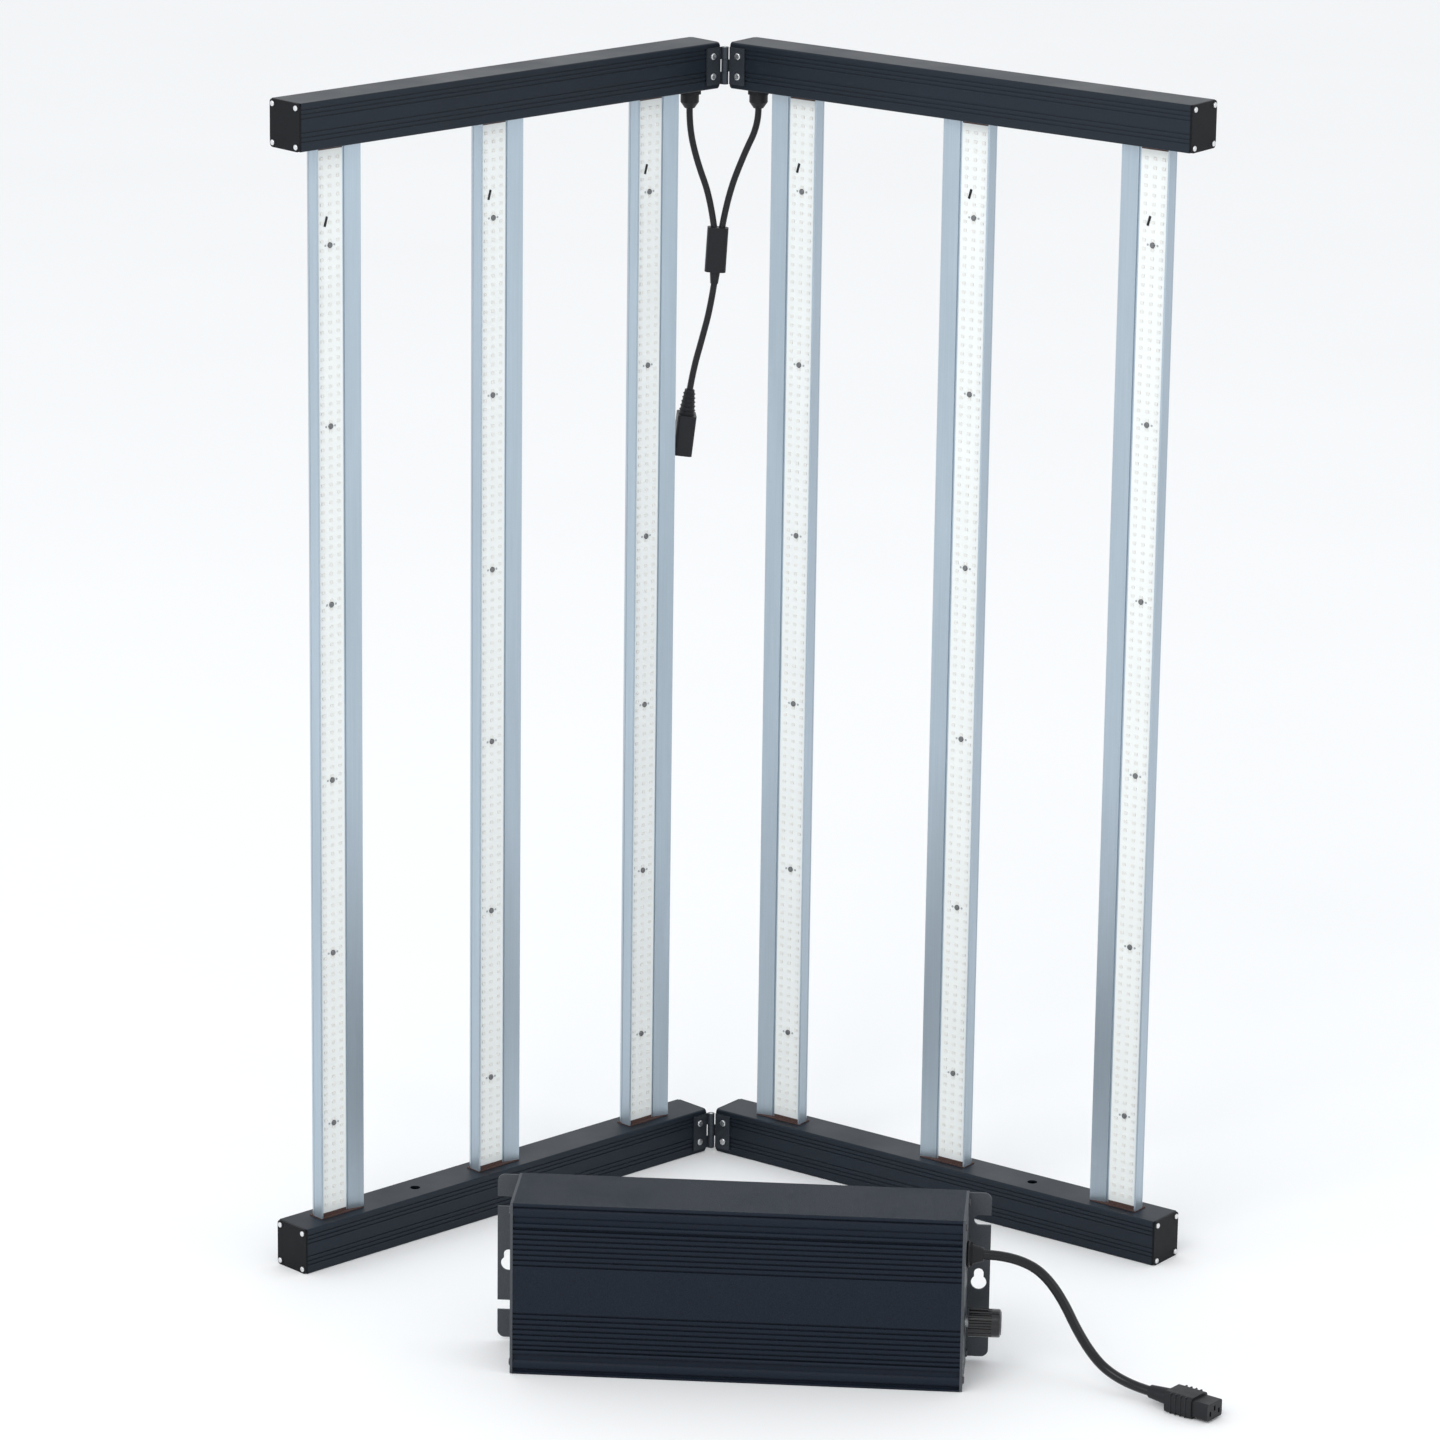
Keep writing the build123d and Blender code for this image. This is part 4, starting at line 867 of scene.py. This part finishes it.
class GROWLIGHT_OT_connector_ribs(bpy.types.Operator):
    """Fit the finger ribs of the output connector's grip"""
    bl_idname = "growlight.connector_ribs"
    bl_label = "Connector ribs"

    def execute(self, context):
        sizes = context.scene.grow_light_details
        heading = math.radians(CONNECTOR_HEADING)
        ahead = Vector((math.cos(heading), math.sin(heading), 0))
        start = DRIVER + Vector(OUTPUT_CORD[-1])
        turn = Matrix.Rotation(heading, 4, "Z")
        rib = rounded_block(GRIP_RIB, GRIP_RIB_ROUNDING)
        seats = []
        for k in range(GRIP_RIBS):
            along = sizes.grip_start + k * sizes.rib_pitch
            place = start + ahead * along
            seats.append(Matrix.Translation((place.x, place.y, GRIP_RIB_HEIGHT)) @ turn)
        piece = gather("connector_ribs", rib.data, seats)
        bpy.data.objects.remove(rib)
        dress(piece, "moulded_black", finish_for("moulded_black"))
        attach(piece, "driver")
        return {"FINISHED"}


class GROWLIGHT_OT_collars(bpy.types.Operator):
    """Fit the output gland's collar and the dimmer knob's end ring"""
    bl_idname = "growlight.collars"
    bl_label = "Collars"

    def execute(self, context):
        sideways = Matrix.Rotation(math.pi / 2, 4, "Y")
        rings = (
            ("output_collar", OUTPUT_COLLAR, "moulded_black", "driver"),
            ("knob_ring", KNOB_RING, "driver_screw", "knob"),
        )
        for name, (radius, bead, flat, at), slot_name, body in rings:
            ring = ring_shape(radius, bead, flat)
            piece = gather(name, ring.data, [Matrix.Translation(DRIVER + Vector(at)) @ sideways])
            dress(piece, slot_name, finish_for(slot_name))
            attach(piece, body)
            bpy.data.objects.remove(ring)
        return {"FINISHED"}


class GROWLIGHT_OT_finishes(bpy.types.Operator):
    """Give every CAD node its finish"""
    bl_idname = "growlight.finishes"
    bl_label = "Finishes"

    def execute(self, context):
        slots = {row["node"]: row["material_slot"] for row in frame["record"]["subparts"]}
        for name, obj in frame["nodes"].items():
            side = name.rsplit("_", 1)[-1]
            if name in NODE_FINISHES:
                make = NODE_FINISHES[name]
                if make not in MADE:
                    MADE[make] = make()
                material = MADE[make]
            else:
                material = finish_for(slots[name], side)
            if not obj.material_slots:
                raise RuntimeError(f"{name} has no material slot")
            for place in obj.material_slots:
                place.material = material
        return {"FINISHED"}


def area_light(name, at, towards, size, power, colour=(1, 1, 1)):
    data = bpy.data.lights.new(name, "AREA")
    data.shape = "RECTANGLE"
    data.size, data.size_y = size
    data.energy = power
    data.color = colour
    lamp = bpy.data.objects.new(name, data)
    turn = (Vector(towards) - Vector(at)).to_track_quat("-Z", "Y")
    lamp.matrix_world = Matrix.Translation(at) @ turn.to_matrix().to_4x4()
    bpy.context.collection.objects.link(lamp)


class GROWLIGHT_OT_studio(bpy.types.Operator):
    """Lay the floor and set the lights"""
    bl_idname = "growlight.studio"
    bl_label = "Studio"

    def execute(self, context):
        sizes = context.scene.grow_light_studio
        start_clean()
        bpy.ops.mesh.primitive_plane_add(size=sizes.floor, location=(0, 0, 0))
        floor = context.object
        floor.name = "floor"
        f = Finish("pale_floor", specular_ior_level=0.2, roughness=0.7)
        cloud = f.noise(f.place(), 1.5, 3)
        f.set("Base Color", f.mix(cloud, (0.93, 0.93, 0.93, 1), (0.96, 0.96, 0.96, 1)))
        floor.data.materials.append(f.material)
        world = bpy.data.worlds.new("pale_room")
        world.use_nodes = True
        world.node_tree.nodes["Background"].inputs[0].default_value = (0.96, 0.98, 1.0, 1)
        world.node_tree.nodes["Background"].inputs[1].default_value = 0.97
        context.scene.world = world
        middle = (0.0, 0.0, 0.6)
        area_light("key", (-1.6, -3.6, 4.2), middle, (3.0, 2.0), sizes.key)
        area_light("fill_left", (-4.0, -1.5, 1.6), middle, (2.0, 2.5), sizes.fill, (0.92, 0.96, 1.0))
        area_light("fill_right", (4.0, -1.8, 1.6), middle, (2.0, 2.5), sizes.fill, (0.92, 0.96, 1.0))
        context.scene.view_settings.view_transform = "Standard"
        return {"FINISHED"}


class GROWLIGHT_PT_panel(bpy.types.Panel):
    bl_idname = "GROWLIGHT_PT_panel"
    bl_label = "Grow light"
    bl_space_type = "VIEW_3D"
    bl_region_type = "UI"
    bl_category = "Grow Light"

    def draw(self, context):
        for step in STEPS:
            self.layout.operator(step.bl_idname)
        for attribute in GROUPS:
            group = getattr(context.scene, attribute)
            box = self.layout.box()
            for name in group.__annotations__:
                box.prop(group, name)


GROUPS = {
    "grow_light_leds": LedSizes, "grow_light_cords": CordSizes, "grow_light_details": DetailSizes,
    "grow_light_colours": Colours,
    "grow_light_studio": StudioSizes,
}
STEPS = (
    GROWLIGHT_OT_camera, GROWLIGHT_OT_cords, GROWLIGHT_OT_leds, GROWLIGHT_OT_board_details,
    GROWLIGHT_OT_plug_ribs, GROWLIGHT_OT_connector_ribs, GROWLIGHT_OT_collars, GROWLIGHT_OT_finishes,
    GROWLIGHT_OT_studio,
)


def register():
    for attribute, group in GROUPS.items():
        bpy.utils.register_class(group)
        setattr(bpy.types.Scene, attribute, bpy.props.PointerProperty(type=group))
    for step in (*STEPS, GROWLIGHT_PT_panel):
        bpy.utils.register_class(step)


def unregister():
    for step in (GROWLIGHT_PT_panel, *reversed(STEPS)):
        bpy.utils.unregister_class(step)
    for attribute, group in GROUPS.items():
        delattr(bpy.types.Scene, attribute)
        bpy.utils.unregister_class(group)


def main():
    register()
    for step in STEPS:
        area, action = step.bl_idname.split(".")
        getattr(getattr(bpy.ops, area), action)()


if __name__ == "__main__":
    main()
